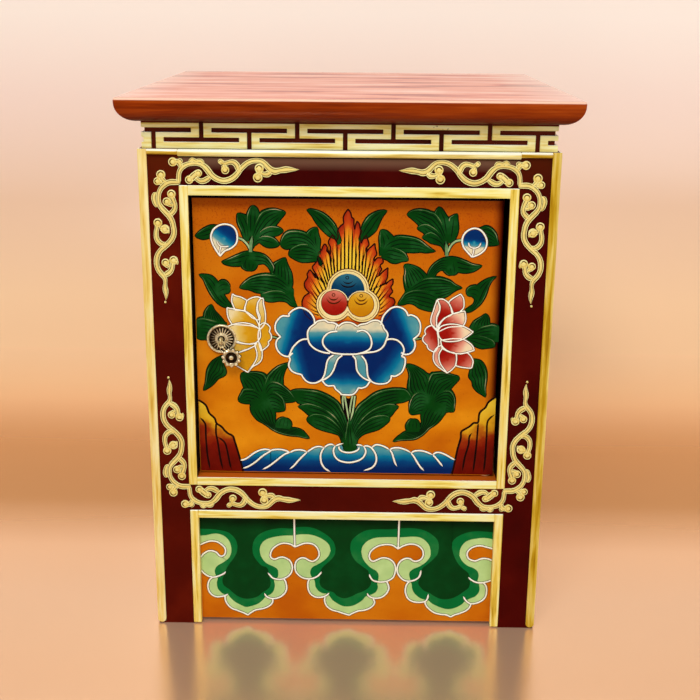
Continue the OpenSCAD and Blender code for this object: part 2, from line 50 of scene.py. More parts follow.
def put(name, data):
    """A new object that shows a mesh, a lamp or a camera."""
    piece = bpy.data.objects.new(name, data)
    scene.collection.objects.link(piece)
    return piece


# %% [markdown]
# ## The camera
# The place and tilt come from fitting the cabinet's known corners to the photograph. The
# picture's middle isn't where the lens points: the frame was cropped, so the lens is
# shifted a little. The camera's three axes are worked out from yaw, pitch and roll.

# %% Camera
PHOTO_PX, SENSOR_MM = 700, 36
lens_px = 1098.4
eye = Vector((0.0169, -1.2875, 0.6689))
yaw, pitch, roll = -0.0135, -0.2799, 0.0082
crop_px = -30

ahead = Vector((np.sin(yaw) * np.cos(pitch), np.cos(yaw) * np.cos(pitch), np.sin(pitch)))
level = Vector((np.cos(yaw), -np.sin(yaw), 0))
upright = level.cross(ahead)
right = np.cos(roll) * level + np.sin(roll) * upright
up = np.cos(roll) * upright - np.sin(roll) * level

camera_data = bpy.data.cameras.new("camera")
camera_data.sensor_width = SENSOR_MM
camera_data.lens = lens_px / PHOTO_PX * SENSOR_MM
camera_data.shift_y = crop_px / PHOTO_PX
camera = put("camera", camera_data)
camera.matrix_world = Matrix.Translation(eye) @ Matrix((right, up, -ahead)).transposed().to_4x4()
scene.camera = camera
scene.view_settings.view_transform = "Standard"
print("lens", round(camera_data.lens, 1), "mm")

# %% [markdown]
# ## Nodes in one line each
# A material is a small network of nodes. A few helpers keep it readable: `add` makes one
# node and fills its sockets, `ramp` turns a number into a colour, and `noise`, `spread` and
# `mix` are the nodes that every paint here needs. Colours are written as people read them
# from a paint card and turned into the linear numbers that shaders use.


# %% Material helpers
def colour(code):
    """The linear colour of #RRGGBB: each part is undone from the screen's curve."""
    c = np.array([int(code[i:i + 2], 16) for i in (1, 3, 5)]) / 255
    linear = np.where(c <= 0.04045, c / 12.92, ((c + 0.055) / 1.055) ** 2.4)
    return (*linear.tolist(), 1.0)


def shader_of(material):
    """The one shader of a material."""
    return material.node_tree.nodes["Principled BSDF"]


def finish(name, roughness=0.5, metallic=0.0, gloss=0.06):
    """A new material with its one shader. Gloss is the strength of the sheen on the paint."""
    material = bpy.data.materials.new(name)
    material.use_nodes = True
    inputs = shader_of(material).inputs
    inputs["Roughness"].default_value = roughness
    inputs["Metallic"].default_value = metallic
    inputs["Specular IOR Level"].default_value = gloss
    return material


def link(material, start, end):
    """A wire from a node's output to a node's input."""
    material.node_tree.links.new(start, end)


def add(material, kind, out=0, **given):
    """Adds a node and returns one of its outputs. A keyword that names a socket fills it,
    with a number or another node's output; any other keyword is the node's own setting."""
    node = material.node_tree.nodes.new("ShaderNode" + kind)
    for key, value in given.items():
        if not any(s.name.lower().replace(" ", "_") == key for s in node.inputs):
            setattr(node, key, value)
    sockets = {s.name.lower().replace(" ", "_"): s for s in reversed(node.inputs)}
    for key, value in given.items():
        if key in sockets and isinstance(value, bpy.types.NodeSocket):
            link(material, value, sockets[key])
        elif key in sockets:
            sockets[key].default_value = value
    return node.outputs[out]


def ramp(material, value, *stops):
    """The colour of a number, from (place, #code) stops in rising order."""
    node = material.node_tree.nodes.new("ShaderNodeValToRGB")
    elements = node.color_ramp.elements
    elements[0].position, elements[1].position = stops[0][0], stops[-1][0]
    for place, _ in stops[1:-1]:
        elements.new(place)
    for element, (_, code) in zip(elements, stops):
        element.color = colour(code)
    link(material, value, node.inputs["Fac"])
    return node.outputs["Color"]


print("orange in linear numbers:", np.round(colour("#DA7E06")[:3], 3))


# %% Places, noise and mixing
def where(m, stretch=(1, 1, 1)):
    """Places on the object in metres, with each axis stretched for long or fine patterns."""
    return add(m, "Mapping", vector=add(m, "TexCoord", "Object"), scale=stretch)


def place_on(m, axis):
    """How far a point lies along one axis, in metres."""
    return add(m, "SeparateXYZ", axis, vector=where(m))


def looks_up(m):
    """How much a face looks up: 1 where it is level and 0 where it is upright."""
    return add(m, "SeparateXYZ", 2, vector=add(m, "TexCoord", "Normal"))


def noise(m, stretch, detail, distortion=0.0):
    """Cloudy noise between 0 and 1, with about so many clouds to the metre on each axis."""
    return add(m, "TexNoise", vector=where(m, stretch), scale=1.0, detail=detail,
               distortion=distortion)


def spread(m, value, start, end, low=0.0, high=1.0):
    """A number that goes from low to high while the given one goes from start to end."""
    return add(m, "MapRange", value=value, from_min=start, from_max=end, to_min=low,
               to_max=high)


def mix(m, share, a, b, blend="MIX"):
    """A colour or number with a share of a second one mixed in."""
    return add(m, "MixRGB", blend_type=blend, fac=share, color1=a, color2=b)


def times(m, a, b):
    """The product of two numbers."""
    return mix(m, 1.0, a, b, "MULTIPLY")


def larger(m, a, b):
    """The larger of two numbers."""
    return mix(m, 1.0, a, b, "LIGHTEN")


def shaded(m, base, axis, start, end, code, strength=1.0):
    """The base colour with another mixed in, none of it at the start of a stretch of one axis
    and the full strength at its end, in metres."""
    share = spread(m, place_on(m, axis), start, end, high=strength)
    return mix(m, share, base, colour(code))


def wire(m, colour_from, bump_from=None, depth=0.0002):
    """Joins a colour, and if given a bump of some depth in metres, to the shader."""
    link(m, colour_from, shader_of(m).inputs["Base Color"])
    if bump_from is not None:
        bump = add(m, "Bump", height=bump_from, distance=depth, strength=0.6)
        link(m, bump, shader_of(m).inputs["Normal"])
    return m


print("ready to mix paint")

# %% [markdown]
# ## Wood
# The top is a plain softwood board, stained red-brown and varnished. Grain is noise that is
# long along the board and short across it: a coarse noise makes the bands, a fine one the
# pores. The varnish is a clear coat with long low waves of its own, so whatever it mirrors is
# drawn out along the board. A reflection is painted into the colour as well: pale pink
# streaks, palest towards both ends, where the top looks up at a slant. A painted highlight
# runs along the top arris, and painted shade darkens the lower part of the rounded edge.
# Boards nobody sees are the same wood left bare.


# %% Wood
def grain(m, stretch, share):
    """Bands with a share of pores, as one number, long along the smallest stretch."""
    bands = noise(m, stretch, 5.0, distortion=0.6)
    pores = noise(m, [10 * s for s in stretch], 3.0)
    return mix(m, share, bands, pores)


def planed(name, stretch):
    """Wood without a finish."""
    m = finish(name, 0.7)
    lines = grain(m, stretch, 0.3)
    return wire(m, ramp(m, lines, (0.36, "#8A6238"), (0.5, "#A87C4C"), (0.64, "#C09664")),
                lines, 0.0001)


bare_x = planed("bare_wood_across", (3, 45, 45))
bare_y = planed("bare_wood_deep", (45, 3, 45))
bare_z = planed("bare_wood_upright", (45, 45, 3))
print("bare wood:", bare_x.name, bare_y.name, bare_z.name)

# %% Varnish
EDGE_SHADE, ARRIS_HIGHLIGHT = (0.567, 0.558), (0.5785, 0.579)
LEFT_END_GLARE, RIGHT_END_GLARE = (-0.185, -0.228), (0.17, 0.225)
varnished = finish("varnished_wood", 0.45, gloss=0.05)
board_lines = grain(varnished, (2.2, 38, 38), 0.35)
stain_and_painted_light = ramp(varnished, board_lines, (0.34, "#6E2000"), (0.46, "#903200"), (0.56, "#A84406"),
             (0.70, "#BC5C18"))
# Painted shade: the lower part of the rounded edge turns darker towards the underside.
stain_and_painted_light = shaded(varnished, stain_and_painted_light, 2, *EDGE_SHADE, "#520A00")
low_waves = noise(varnished, (7, 32, 50), 6.0)
# Painted reflection: pale pink streaks, palest towards both ends, mixed into the colour where the
# top looks up at a slant.
painted_reflection = ramp(varnished, low_waves, (0.34, "#9C2A12"), (0.41, "#D4604A"),
                (0.48, "#EA8A6E"), (0.56, "#F09C84"), (0.66, "#FAC6B0"))
painted_reflection = shaded(varnished, painted_reflection, 0, *LEFT_END_GLARE, "#FCDCC8", 0.55)
painted_reflection = shaded(varnished, painted_reflection, 0, *RIGHT_END_GLARE, "#F8DCCB", 0.6)
upward = looks_up(varnished)
slant = add(varnished, "LayerWeight", "Facing", blend=0.5)
gleam = times(varnished, spread(varnished, upward, 0.6, 0.95),
              spread(varnished, slant, 0.7, 0.9))
stain_and_painted_light = mix(varnished, gleam, stain_and_painted_light, painted_reflection)
# Painted highlight: a pale line along the top arris of the board.
arris = times(varnished, spread(varnished, upward, 0.995, 0.9),
              spread(varnished, place_on(varnished, 2), *ARRIS_HIGHLIGHT))
wire(varnished, mix(varnished, arris, stain_and_painted_light, colour("#F0C4A8")), board_lines, 0.0001)
varnish = shader_of(varnished).inputs
varnish["Coat Roughness"].default_value = 0.15
link(varnished, add(varnished, "Bump", height=low_waves, distance=0.0004, strength=0.5),
     varnish["Coat Normal"])
link(varnished, spread(varnished, gleam, 0, 1, 0.12, 0.55), varnish["Coat Weight"])
print("varnish:", varnished.name)

# %% [markdown]
# ## Paint
# Brushed paint is never even. Broad noise shifts the colour, as thin and thick coats do, and
# a fine streaky noise gives the brush marks and the bump. The orange of the door and of the
# apron has small red-brown specks, most of them on the door's upper third. Light and shade
# are painted in too: shade on the maroon towards the frieze, a sheen and a shadow line on the
# top rail, and on the door a shadow under the top of the frame, a black line along its top
# edge and shade along its hinge edge.


# %% Paint
def brushed(name, stops, *shades, gloss=0.06):
    """Paint whose colour wanders between the stops, plus any painted light and shade."""
    m = finish(name, 0.45, gloss=gloss)
    mixed = ramp(m, noise(m, (14, 14, 14), 4.0), *stops)
    hairs = noise(m, (700, 700, 90), 2.0)
    for shade in shades:
        mixed = shaded(m, mixed, *shade)
    return wire(m, mixed, hairs, 0.00008)


def orange_paint(name, speckle_from, speckle_to):
    """Orange paint with specks that grow common between two heights, in metres."""
    m = finish(name, 0.42)
    coats = noise(m, (11, 11, 17), 5.0)
    ground = ramp(m, coats, (0.35, "#C66604"), (0.5, "#DA7E06"), (0.65, "#EA9612"))
    ground = shaded(m, ground, 2, 0.26, 0.47, "#BC5404", 0.75)
    common = spread(m, place_on(m, 2), speckle_from, speckle_to, high=0.15)
    specks = add(m, "TexNoise", vector=where(m), scale=620.0, detail=1.0)
    cover = ramp(m, mix(m, 1.0, specks, common, "ADD"), (0.72, "#000000"), (0.80, "#B0B0B0"))
    return m, mix(m, cover, ground, colour("#A03206")), coats


DARK_RED = (0.3, "#3A0201"), (0.55, "#4A0401"), (0.75, "#5A0C02")
# Painted shade: the maroon turns browner towards the frieze.
SHADE_UNDER_FRIEZE = (2, 0.48, 0.53, "#4A2204", 0.6)
maroon = brushed("maroon_paint", DARK_RED, SHADE_UNDER_FRIEZE, gloss=0.04)
# A browner copy of the maroon, for the bottom rail and the left front post.
maroon_worn = brushed("maroon_worn", [(0.3, "#460802"), (0.55, "#540C02"), (0.75, "#661604")],
                      SHADE_UNDER_FRIEZE, gloss=0.04)
# The top rail carries a painted reflection, a grey-brown sheen over its upper half, and a black
# painted shadow line under the bead.
maroon_rail = brushed("maroon_rail", [(0.3, "#2E0101"), (0.55, "#3C0201"), (0.75, "#4A0602")],
                      (2, 0.509, 0.520, "#7A5A46", 0.85),
                      (2, 0.5215, 0.5220, "#0A0302"), gloss=0.04)
orange_door, orange, coats = orange_paint("orange_paint_door", 0.36, 0.47)
# Painted shadow of the top lining: a darker band along the top of the door.
orange = shaded(orange_door, orange, 2, 0.468, 0.473, "#A84002", 0.35)
# Painted shade: a dark red band along the door's right, hinge edge.
orange = shaded(orange_door, orange, 0, 0.146, 0.156, "#6A1002", 0.92)
# Painted shadow: a black line along the door's top edge, under the lining.
orange = shaded(orange_door, orange, 2, 0.4792, 0.4796, "#080201")
wire(orange_door, orange, coats, 0.0002)
orange_low, orange, coats = orange_paint("orange_paint_apron", 0.60, 0.90)
orange = shaded(orange_low, orange, 2, 0.20, 0.14, "#BC5206", 0.35)
wire(orange_low, orange, coats, 0.0002)
dark_groove = brushed("groove_paint", [(0.3, "#3A0E05"), (0.7, "#5E1E0C")])
print("paint:", maroon.name, orange_door.name)

# %% [markdown]
# ## Gilding
# The strips were gilded with gold paint over a dark red ground. The gold is pale where it
# lies thick, ochre where it is thin, and worn through in a few spots. It was brushed along
# each strip, so the streaks run up on uprights and across on rails. A painted highlight makes
# every face that looks up nearly white, the fret's upper edge carries the painted shadow of
# the top board, and the left corner strip is painted lighter than the right one, as light
# and shade. Behind the front edge the same boards are painted, so the finish changes with
# depth.


# %% Gilding
THICK = (0.30, "#C49C1E"), (0.39, "#E8C84A"), (0.47, "#FAE070"), (0.62, "#FFF8B0")
BRIGHT = (0.30, "#D4AC2C"), (0.39, "#F4DE66"), (0.47, "#FFF492"), (0.62, "#FFFFC4")
PALE = (0.28, "#D0AC40"), (0.38, "#ECD470"), (0.47, "#FAEC96"), (0.62, "#FFFCC0")
MIDDLING = (0.30, "#DCAC44"), (0.40, "#F0CC66"), (0.50, "#F8DE88"), (0.64, "#FFF0B0")
THIN = (0.30, "#A67A10"), (0.42, "#C29818"), (0.52, "#D8B43A"), (0.66, "#ECD272")


NOWHERE = 9.0
PAINT_BEHIND, SHADOW_ABOVE = -0.1993, 0.5550


def gilt(name, stretch, stops, painted_from=NOWHERE, shadowed_from=NOWHERE, paint="#120301"):
    """Gold paint with streaks along the smallest stretch, with a painted highlight that makes
    faces which look up palest. Behind a depth it is dark paint, and above a height it carries
    a painted shadow, both in metres."""
    m = finish(name, 0.36, metallic=0.1)
    streaks = noise(m, stretch, 5.0, distortion=0.3)
    bare = ramp(m, noise(m, (75, 75, 75), 6.0), (0.22, "#FFFFFF"), (0.25, "#000000"))
    gold = mix(m, bare, ramp(m, streaks, *stops), colour("#6A4212"))
    # Painted highlight: faces that look up turn nearly white.
    gold = mix(m, spread(m, looks_up(m), 0.1, 0.6, high=0.95), gold, colour("#FFFFEA"))
    gold = shaded(m, gold, 1, painted_from, painted_from + 0.0002, paint)
    # Painted shadow of the top board along the upper edge of the fret.
    gold = shaded(m, gold, 2, shadowed_from, shadowed_from + 0.0004, "#5E0E02")
    return wire(m, gold, streaks, 0.00025)


UP, ACROSS, DEEP = (240, 240, 16), (16, 240, 240), (240, 16, 240)
gilt_up = gilt("gilding_up", UP, THICK)
gilt_across = gilt("gilding_across", ACROSS, BRIGHT)
gilt_fret = gilt("gilding_fret", ACROSS, PALE, shadowed_from=SHADOW_ABOVE)
gilt_bead = gilt("gilding_bead", ACROSS, PALE)
gilt_post_bead = gilt("gilding_post_bead", ACROSS, THIN)
gilt_deep = gilt("gilding_deep", DEEP, THIN)
# Painted light and shade: the left corner strip takes paler gold than the right one.
gilt_lit_left = gilt("gilding_left", UP, MIDDLING)
gilt_shaded_right = gilt("gilding_right", UP, THIN)
gilt_jamb = gilt("gilding_jamb", UP, THICK, PAINT_BEHIND)
gilt_lintel = gilt("gilding_lintel", ACROSS, BRIGHT, PAINT_BEHIND)
gilt_sill = gilt("gilding_sill", ACROSS, BRIGHT, PAINT_BEHIND, paint="#C05C12")
print("gold:", gilt_up.name, gilt_across.name)

# %% [markdown]
# ## Metal
# The pull is cast brass, polished where fingers touch it and nearly black in its hollows, so
# its colour goes by how far a place stands out from the door and, on the rosette, by how far
# it lies from the middle. The rosette's ribs also carry a painted highlight on one side only.
# The pivot pins, the screws and the plate of the catch are plain steel with a fine grain.


# %% Metal
def metal(name, stops, roughness, metallic=1.0):
    """Metal whose colour wanders between polish and tarnish."""
    m = finish(name, roughness, metallic)
    tarnish = noise(m, (90, 90, 90), 5.0)
    return wire(m, ramp(m, tarnish, *stops), noise(m, (900, 900, 900), 2.0), 0.00003)


def hollowed(m, polish):
    """Joins a brass that is nearly black where the polish is 0 and pale where it is 1."""
    dark = noise(m, (500, 500, 500), 3.0)
    hollow = ramp(m, dark, (0.4, "#0E0704"), (0.6, "#3C2812"))
    back = ramp(m, dark, (0.35, "#CDB078"), (0.6, "#FBEFC8"))
    return wire(m, mix(m, polish, hollow, back), dark, 0.0001)


brass = metal("brass", [(0.3, "#C8B078"), (0.5, "#F0E0A8"), (0.65, "#FFFAD8")], 0.28, 0.5)
rosette_x, rosette_z = -0.1323, 0.331
RIM, RIB_ENDS, HUB_INNER, HUB_OUTER = ((0.0128, 0.0134), (0.0122, 0.0116), (0.0042, 0.0047),
                                       (0.0070, 0.0066))
RIB_BACKS, LIT_SIDE, DROP_BACKS = (-0.1896, -0.1899), (-0.1440, -0.1320), (-0.1975, -0.1981)
rosette = finish("brass_rosette", 0.3, metallic=0.5)
spoke = add(rosette, "Mapping", vector=add(rosette, "TexCoord", "Object"),
            scale=(1, 0, 1), location=(-rosette_x, 0, -rosette_z))
reach = add(rosette, "VectorMath", 1, operation="LENGTH", vector=spoke)
rim = spread(rosette, reach, *RIM)
# Painted highlight: the ribs are pale only towards one side of the rosette.
ribs = times(rosette, spread(rosette, place_on(rosette, 1), *RIB_BACKS),
             spread(rosette, place_on(rosette, 0), *LIT_SIDE))
ribs = times(rosette, ribs, spread(rosette, reach, *RIB_ENDS))
hub = times(rosette, spread(rosette, reach, *HUB_INNER), spread(rosette, reach, *HUB_OUTER))
hollowed(rosette, larger(rosette, rim, larger(rosette, ribs, hub)))
drop = finish("brass_drop", 0.3, metallic=0.5)
hollowed(drop, spread(drop, place_on(drop, 1), *DROP_BACKS))
steel = metal("steel", [(0.3, "#6E6E6C"), (0.6, "#A8A8A4")], 0.35)
print("metal:", brass.name, steel.name)

# %% [markdown]
# ## Every part gets its finish
# A part of the joinery keeps its shape and takes a material in its one slot. The calls
# below are the maker's list: which finish goes on which boards.


# %% Dress the joinery
def dress(material, *names):
    """Gives parts of the joinery one material."""
    for name in names:
        nodes[name].data.materials.clear()
        nodes[name].data.materials.append(material)


dress(varnished, "top_board")
dress(bare_x, "door_stop", "cabinet_floor", "door_battens")
dress(bare_y, "top_cleat_left", "top_cleat_right")
dress(bare_z, "back_panel", "frieze_dowels", "catch")
dress(maroon, *[n for n in nodes if n.startswith(("post_", "rail_", "side_panel_"))])
dress(dark_groove, "frieze_front", "frieze_back", "frieze_left", "frieze_right")
dress(maroon_rail, "rail_front_top")
dress(maroon_worn, "rail_front_bottom", "post_front_left")
dress(gilt_fret, "fret_front")
dress(gilt_bead, "bead_front")
dress(gilt_post_bead, "bead_post_left", "bead_post_right")
dress(gilt_across, "apron_strip_top")
dress(gilt_deep, "fret_left", "fret_right")
dress(gilt_up, "apron_strip_left", "apron_strip_right")
dress(gilt_lit_left, "corner_strip_left")
dress(gilt_shaded_right, "corner_strip_right")
dress(gilt_jamb, "lining_left", "lining_right")
dress(gilt_lintel, "lining_top")
dress(gilt_sill, "lining_bottom")
dress(orange_low, "apron_front")
dress(maroon, "apron_left", "apron_right")
dress(orange_door, "door_panel")
dress(steel, "pivot_pin_top", "pivot_pin_bottom", "catch_plate", "top_screws")
dress(brass, "pivot_bush_top", "pivot_bush_bottom", "pull_eye", "pull_nut", "pull_link")
dress(rosette, "pull_rosette")
dress(drop, "pull_drop")
print("parts without a finish:", [n for n, o in nodes.items() if not o.data.materials])

# %% [markdown]
# ## Soft edges
# Gilt strips were sanded before the gold went on, so their edges are round and catch light.
# A copy of each strip takes its place: loose points are merged, faces in one plane are joined
# to one face, and a bevel of three steps rounds every sharp edge.


# %% Soft edges
def softened(name, width):
    """Puts a copy with rounded edges in a part's place. The width is in metres."""
    shape = bmesh.new()
    shape.from_mesh(nodes[name].data)
    bmesh.ops.remove_doubles(shape, verts=shape.verts, dist=0.00001)
    bmesh.ops.dissolve_limit(shape, angle_limit=0.02, verts=shape.verts, edges=shape.edges)
    mesh = bpy.data.meshes.new(name + "_soft")
    shape.to_mesh(mesh)
    shape.free()
    mesh.shade_smooth()
    mesh.materials.append(nodes[name].data.materials[0])
    piece = put(name + "_soft", mesh)
    edge = piece.modifiers.new("edge", "BEVEL")
    edge.width, edge.segments, edge.angle_limit = width, 3, np.radians(40)
    edge.limit_method, edge.harden_normals = "ANGLE", True
    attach(piece, "cabinet")
    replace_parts(piece, name)


for name in nodes:
    if name.startswith(("lining_", "apron_strip_", "corner_strip_", "bead_")):
        softened(name, 0.0009)
    elif name.startswith("fret_"):
        softened(name, 0.0004)
print("rounded the gilt strips")

# %% [markdown]
# ## Floor and light
# A pale sweep stands under and behind the cabinet. One large soft lamp, high in front and a
# little to the left, makes the short shadows under the top and inside the door's frame. A
# weaker one softens them from the right, and the pale sky fills the rest and is what the
# varnish and the gold reflect. The sweep is clear from behind, so that the back of the
# cabinet can be looked at as well.

# %% Studio
xs, turn = np.array([-6.0, 6.0]), np.linspace(0, np.pi / 2, 17)
sweep_y = np.concatenate([[-6.0], 0.3 + 0.5 * np.sin(turn), [0.8]])
sweep_z = np.concatenate([[0.0], 0.5 - 0.5 * np.cos(turn), [6.0]])
grid = np.stack([np.repeat(xs, len(sweep_y)), np.tile(sweep_y, 2), np.tile(sweep_z, 2)], 1)
strip = np.arange(len(sweep_y) - 1)
faces = np.stack([strip, strip + len(sweep_y), strip + len(sweep_y) + 1, strip + 1], 1)
floor_mesh = bpy.data.meshes.new("floor")
floor_mesh.from_pydata(grid.tolist(), [], faces.tolist())
floor_mesh.shade_smooth()
floor = put("floor", floor_mesh)
print("sweep of", len(faces), "faces")

# %% Paint of the sweep
SHINE_TOP = 0.08
floor_paint = finish("floor", 0.22, gloss=0.5)
high = place_on(floor_paint, 2)
along = mix(floor_paint, 1.0, place_on(floor_paint, 1), high, "ADD")
# Painted shadow: the two darker stops make a band on the floor just behind the cabinet and at the
# foot of the curve.
backdrop_with_shadow = ramp(floor_paint, spread(floor_paint, along, -1.0, 2.0), (0.233, "#E8C09A"),
                (0.287, "#ECC8A4"), (0.327, "#F2CCA4"), (0.373, "#CB9C66"),
                (0.433, "#D0A06C"), (0.493, "#F2C08C"), (0.603, "#F8CC9E"),
                (0.69, "#F0C8A6"), (0.767, "#FCE2D2"), (0.817, "#FFF0E2"))
wire(floor_paint, backdrop_with_shadow)
glow = add(floor_paint, "Math", operation="MAXIMUM").node
for k, ray in enumerate(("Is Camera Ray", "Is Glossy Ray")):
    link(floor_paint, add(floor_paint, "LightPath", ray), glow.inputs[k])
strength = times(floor_paint, glow.outputs[0],
                 spread(floor_paint, high, 0.0, SHINE_TOP, 0.09, 0.17))
floor_shader = shader_of(floor_paint)
link(floor_paint, backdrop_with_shadow, floor_shader.inputs["Emission Color"])
link(floor_paint, strength, floor_shader.inputs["Emission Strength"])
link(floor_paint, spread(floor_paint, high, 0.0, SHINE_TOP, 0.7, 0.0),
     floor_shader.inputs["Metallic"])
from_behind = times(floor_paint, add(floor_paint, "NewGeometry", "Backfacing"),
                    add(floor_paint, "LightPath", "Is Camera Ray"))
one_sided = add(floor_paint, "MixShader").node
surface = floor_paint.node_tree.nodes["Material Output"].inputs["Surface"]
for start, end in ((from_behind, one_sided.inputs[0]),
                   (floor_shader.outputs[0], one_sided.inputs[1]),
                   (add(floor_paint, "BsdfTransparent"), one_sided.inputs[2]),
                   (one_sided.outputs[0], surface)):
    link(floor_paint, start, end)
floor_mesh.materials.append(floor_paint)
print("sweep painted:", floor_paint.name)

# %% Light
world = bpy.data.worlds.new("sky")
world.use_nodes = True
sky = world.node_tree.nodes["Background"]
sky.inputs["Color"].default_value = colour("#FAFAFF")
sky.inputs["Strength"].default_value = 0.48
scene.world = world


def lamp(name, place, aim, size, watts):
    """A square soft lamp at a place, turned towards its aim."""
    data = bpy.data.lights.new(name, "AREA")
    data.size, data.energy = size, watts
    look = (Vector(aim) - Vector(place)).to_track_quat("-Z", "Y")
    put(name, data).matrix_world = Matrix.Translation(place) @ look.to_matrix().to_4x4()


lamp("key", (-0.35, -1.5, 2.2), (0, 0, 0.3), 0.8, 33)
lamp("fill", (1.6, -1.9, 0.9), (0, 0, 0.3), 1.4, 7)
print("lamps:", len(bpy.data.lights))

# %% [markdown]
# ## Lines and thin shells
# The painter works in layers: a filled shape, then darker lines, then thick white outlines
# that stand up from the board. A picture texture would be flat and stuck at one size, so
# every stroke here is a real film of paint. All of them are drawn in millimetres on the
# board, x from the middle and z from the floor. Three kinds of surface do it all: a film
# that grows in rings from a centre to an outline, a ridge with a round back along a line,
# and a band that fills the room between two lines.


# %% Smooth lines
def run_along(line):
    """How far each point lies along a line, from 0 at its start."""
    return np.concatenate([[0], np.cumsum(np.hypot(*np.diff(line[:, :2], axis=0).T))])


def read_at(line, marks, places):
    """The points of a line at some places, where marks are the places of its own points."""
    return np.stack([np.interp(places, marks, column) for column in line.T], 1)


def even(line, step):
    """The same line with its points spread evenly along it, about one each step."""
    run = run_along(line)
    return read_at(line, run, np.linspace(0, run[-1], max(5, int(np.ceil(run[-1] / step)) + 1)))


def counted(line, count):
    """The same line with another number of points, spread as its own points are."""
    return read_at(line, np.linspace(0, 1, len(line)), np.linspace(0, 1, count))


def across(line):
    """The direction across a line at each of its points, one unit long."""
    way = np.gradient(line, axis=0)
    way /= np.maximum(np.hypot(*way.T), 1e-9)[:, None]
    return np.stack([-way[:, 1], way[:, 0]], 1)


def smooth(points, step=1.4, closed=False):
    """A smooth line through a few points: between two of them it is the cubic that leaves
    and arrives parallel to the line between its neighbours. A third number, if the points
    have one, changes as smoothly."""
    p = np.array(points, float)
    before, after = (p[-1:], p[:2]) if closed else (2 * p[:1] - p[1:2], 2 * p[-1:] - p[-2:-1])
    p = np.vstack([before, p, after])
    a, b, c, d = (p[i:len(p) - 3 + i, None] for i in range(4))
    t = np.linspace(0, 1, 9)[None, :-1, None]
    curve = b + t / 2 * (c - a + t * (2 * a - 5 * b + 4 * c - d + t * (3 * (b - c) + d - a)))
    return even(np.vstack([curve.reshape(-1, p.shape[1]), p[-2:-1]]), step)


def runs_of(shape):
    """The smooth runs of an outline. A shape is one closed ring of points, or several runs
    that meet at sharp corners, where each run ends at the first point of the next."""
    if not isinstance(shape[0], list):
        return [smooth(shape, closed=True)]
    ends = [run[0] for run in shape[1:]] + [shape[0][0]]
    return [smooth(run + [end]) for run, end in zip(shape, ends)]


print("a ring through 4 points has", len(smooth([(0, 0), (9, 0), (9, 9), (0, 9)], closed=True)))


# %% Shells
heaps = {}
SUNK = -0.15


def on(face, flat, height):
    """Places on a board: x and z from the drawing, y a height in mm in front of its face."""
    y = np.broadcast_to(face - np.asarray(height) / 1000, flat.shape[:-1])
    return np.stack([flat[..., 0] / 1000, y, flat[..., 1] / 1000], -1)


def shell(heap, first, rings, last, tones):
    """Adds a closed skin to a heap: a first point, rings of points, a last point. Rings are
    joined by four-sided faces, each end by a fan. If its volume comes out negative, the
    faces are turned round, so they always point outwards."""
    count, around = rings.shape[:2]
    points = np.vstack([first[None], rings.reshape(-1, 3), last[None]])
    here = np.arange(around)
    there, end = np.roll(here, -1), len(points) - 1
    start = 1 + around * np.arange(count - 1)[:, None]
    quads = np.stack([start + here, start + there, start + there + around,
                      start + here + around], -1).reshape(-1, 4)
    fans = np.vstack([np.stack([0 * here, 1 + there, 1 + here], 1),
                      np.stack([0 * here + end, end - around + here, end - around + there], 1)])
    q = points - points.mean(0)
    triangles = np.vstack([quads[:, :3], quads[:, [0, 2, 3]], fans])
    a, b, c = (q[triangles[:, k]] for k in range(3))
    if (np.cross(a, b) * c).sum() < 0:
        quads, fans = quads[:, ::-1], fans[:, ::-1]
    tone = np.concatenate([tones[:1, 0], tones.ravel(), tones[-1:, 0]])
    heaps.setdefault(heap, []).append((points, quads, fans, tone))


print("heaps:", len(heaps))


# %% Tones, films, ridges and bands
def between(dark, light, low=0.0, high=1.0):
    """A tone that goes from low at one place of the drawing to high at another."""
    dark, way = np.array(dark, float), np.array(light, float) - np.array(dark, float)
    return lambda p: low + (high - low) * np.clip((p - dark) @ way / (way @ way), 0, 1)


def flat_tone(value):
    """The same tone everywhere."""
    return lambda p: np.full(p.shape[:-1], float(value))


def film(heap, face, line, lift, tone, centre=None):
    """A film of paint: rings grow in equal steps from the centre to the outline, lifted off
    the board, and a last ring turns down into it."""
    line = line[:-1] if np.allclose(line[0], line[-1]) else line
    middle = np.array(centre if centre is not None else line.mean(0), float)
    share = np.array([0.2, 0.4, 0.6, 0.8, 1.0, 1.0])[:, None, None]
    flat = middle + share * (line - middle)
    height = np.array([lift] * 5 + [SUNK])[:, None]
    shell(heap, on(face, middle, lift), on(face, flat, height), on(face, middle, SUNK),
          tone(flat))


def ridge(heap, face, line, width, lift, height, tone, taper=(0, 0)):
    """A raised stroke: half a round section carried along a line, width across and height
    above its lift. Taper gives the length over which each end narrows to a point."""
    along = run_along(line)
    slim = np.ones(len(line))
    for length, left in zip(taper, (along, along[-1] - along)):
        if length:
            slim = slim * np.clip(left / length, 0.12, 1)
    back = 6
    turn = np.concatenate([np.linspace(0, np.pi, back), [np.pi, 0]])
    out, rise = np.cos(turn), np.sin(turn)
    flat = line[:, None] + across(line)[:, None] * (slim[:, None] * width / 2 * out)[..., None]
    level = np.where(np.arange(back + 2) < back, lift + height * rise * slim[:, None], SUNK)
    shell(heap, on(face, line[0], lift * 0.5), on(face, flat, level),
          on(face, line[-1], lift * 0.5), tone(flat))


def band(heap, face, side_a, side_b, lift, tone, rows=5):
    """A film between two side lines, straight across in rows."""
    a, b = (counted(side, max(len(side_a), len(side_b))) for side in (side_a, side_b))
    over = np.concatenate([np.linspace(0, 1, rows), [1, 0]])
    flat = a[:, None] + (b - a)[:, None] * over[None, :, None]
    level = np.where(np.arange(rows + 2) < rows, lift, SUNK)
    shell(heap, on(face, flat[0, 2], lift * 0.5), on(face, flat, level),
          on(face, flat[-1, 2], lift * 0.5), tone(flat))
    return a, b


print("ready to paint")


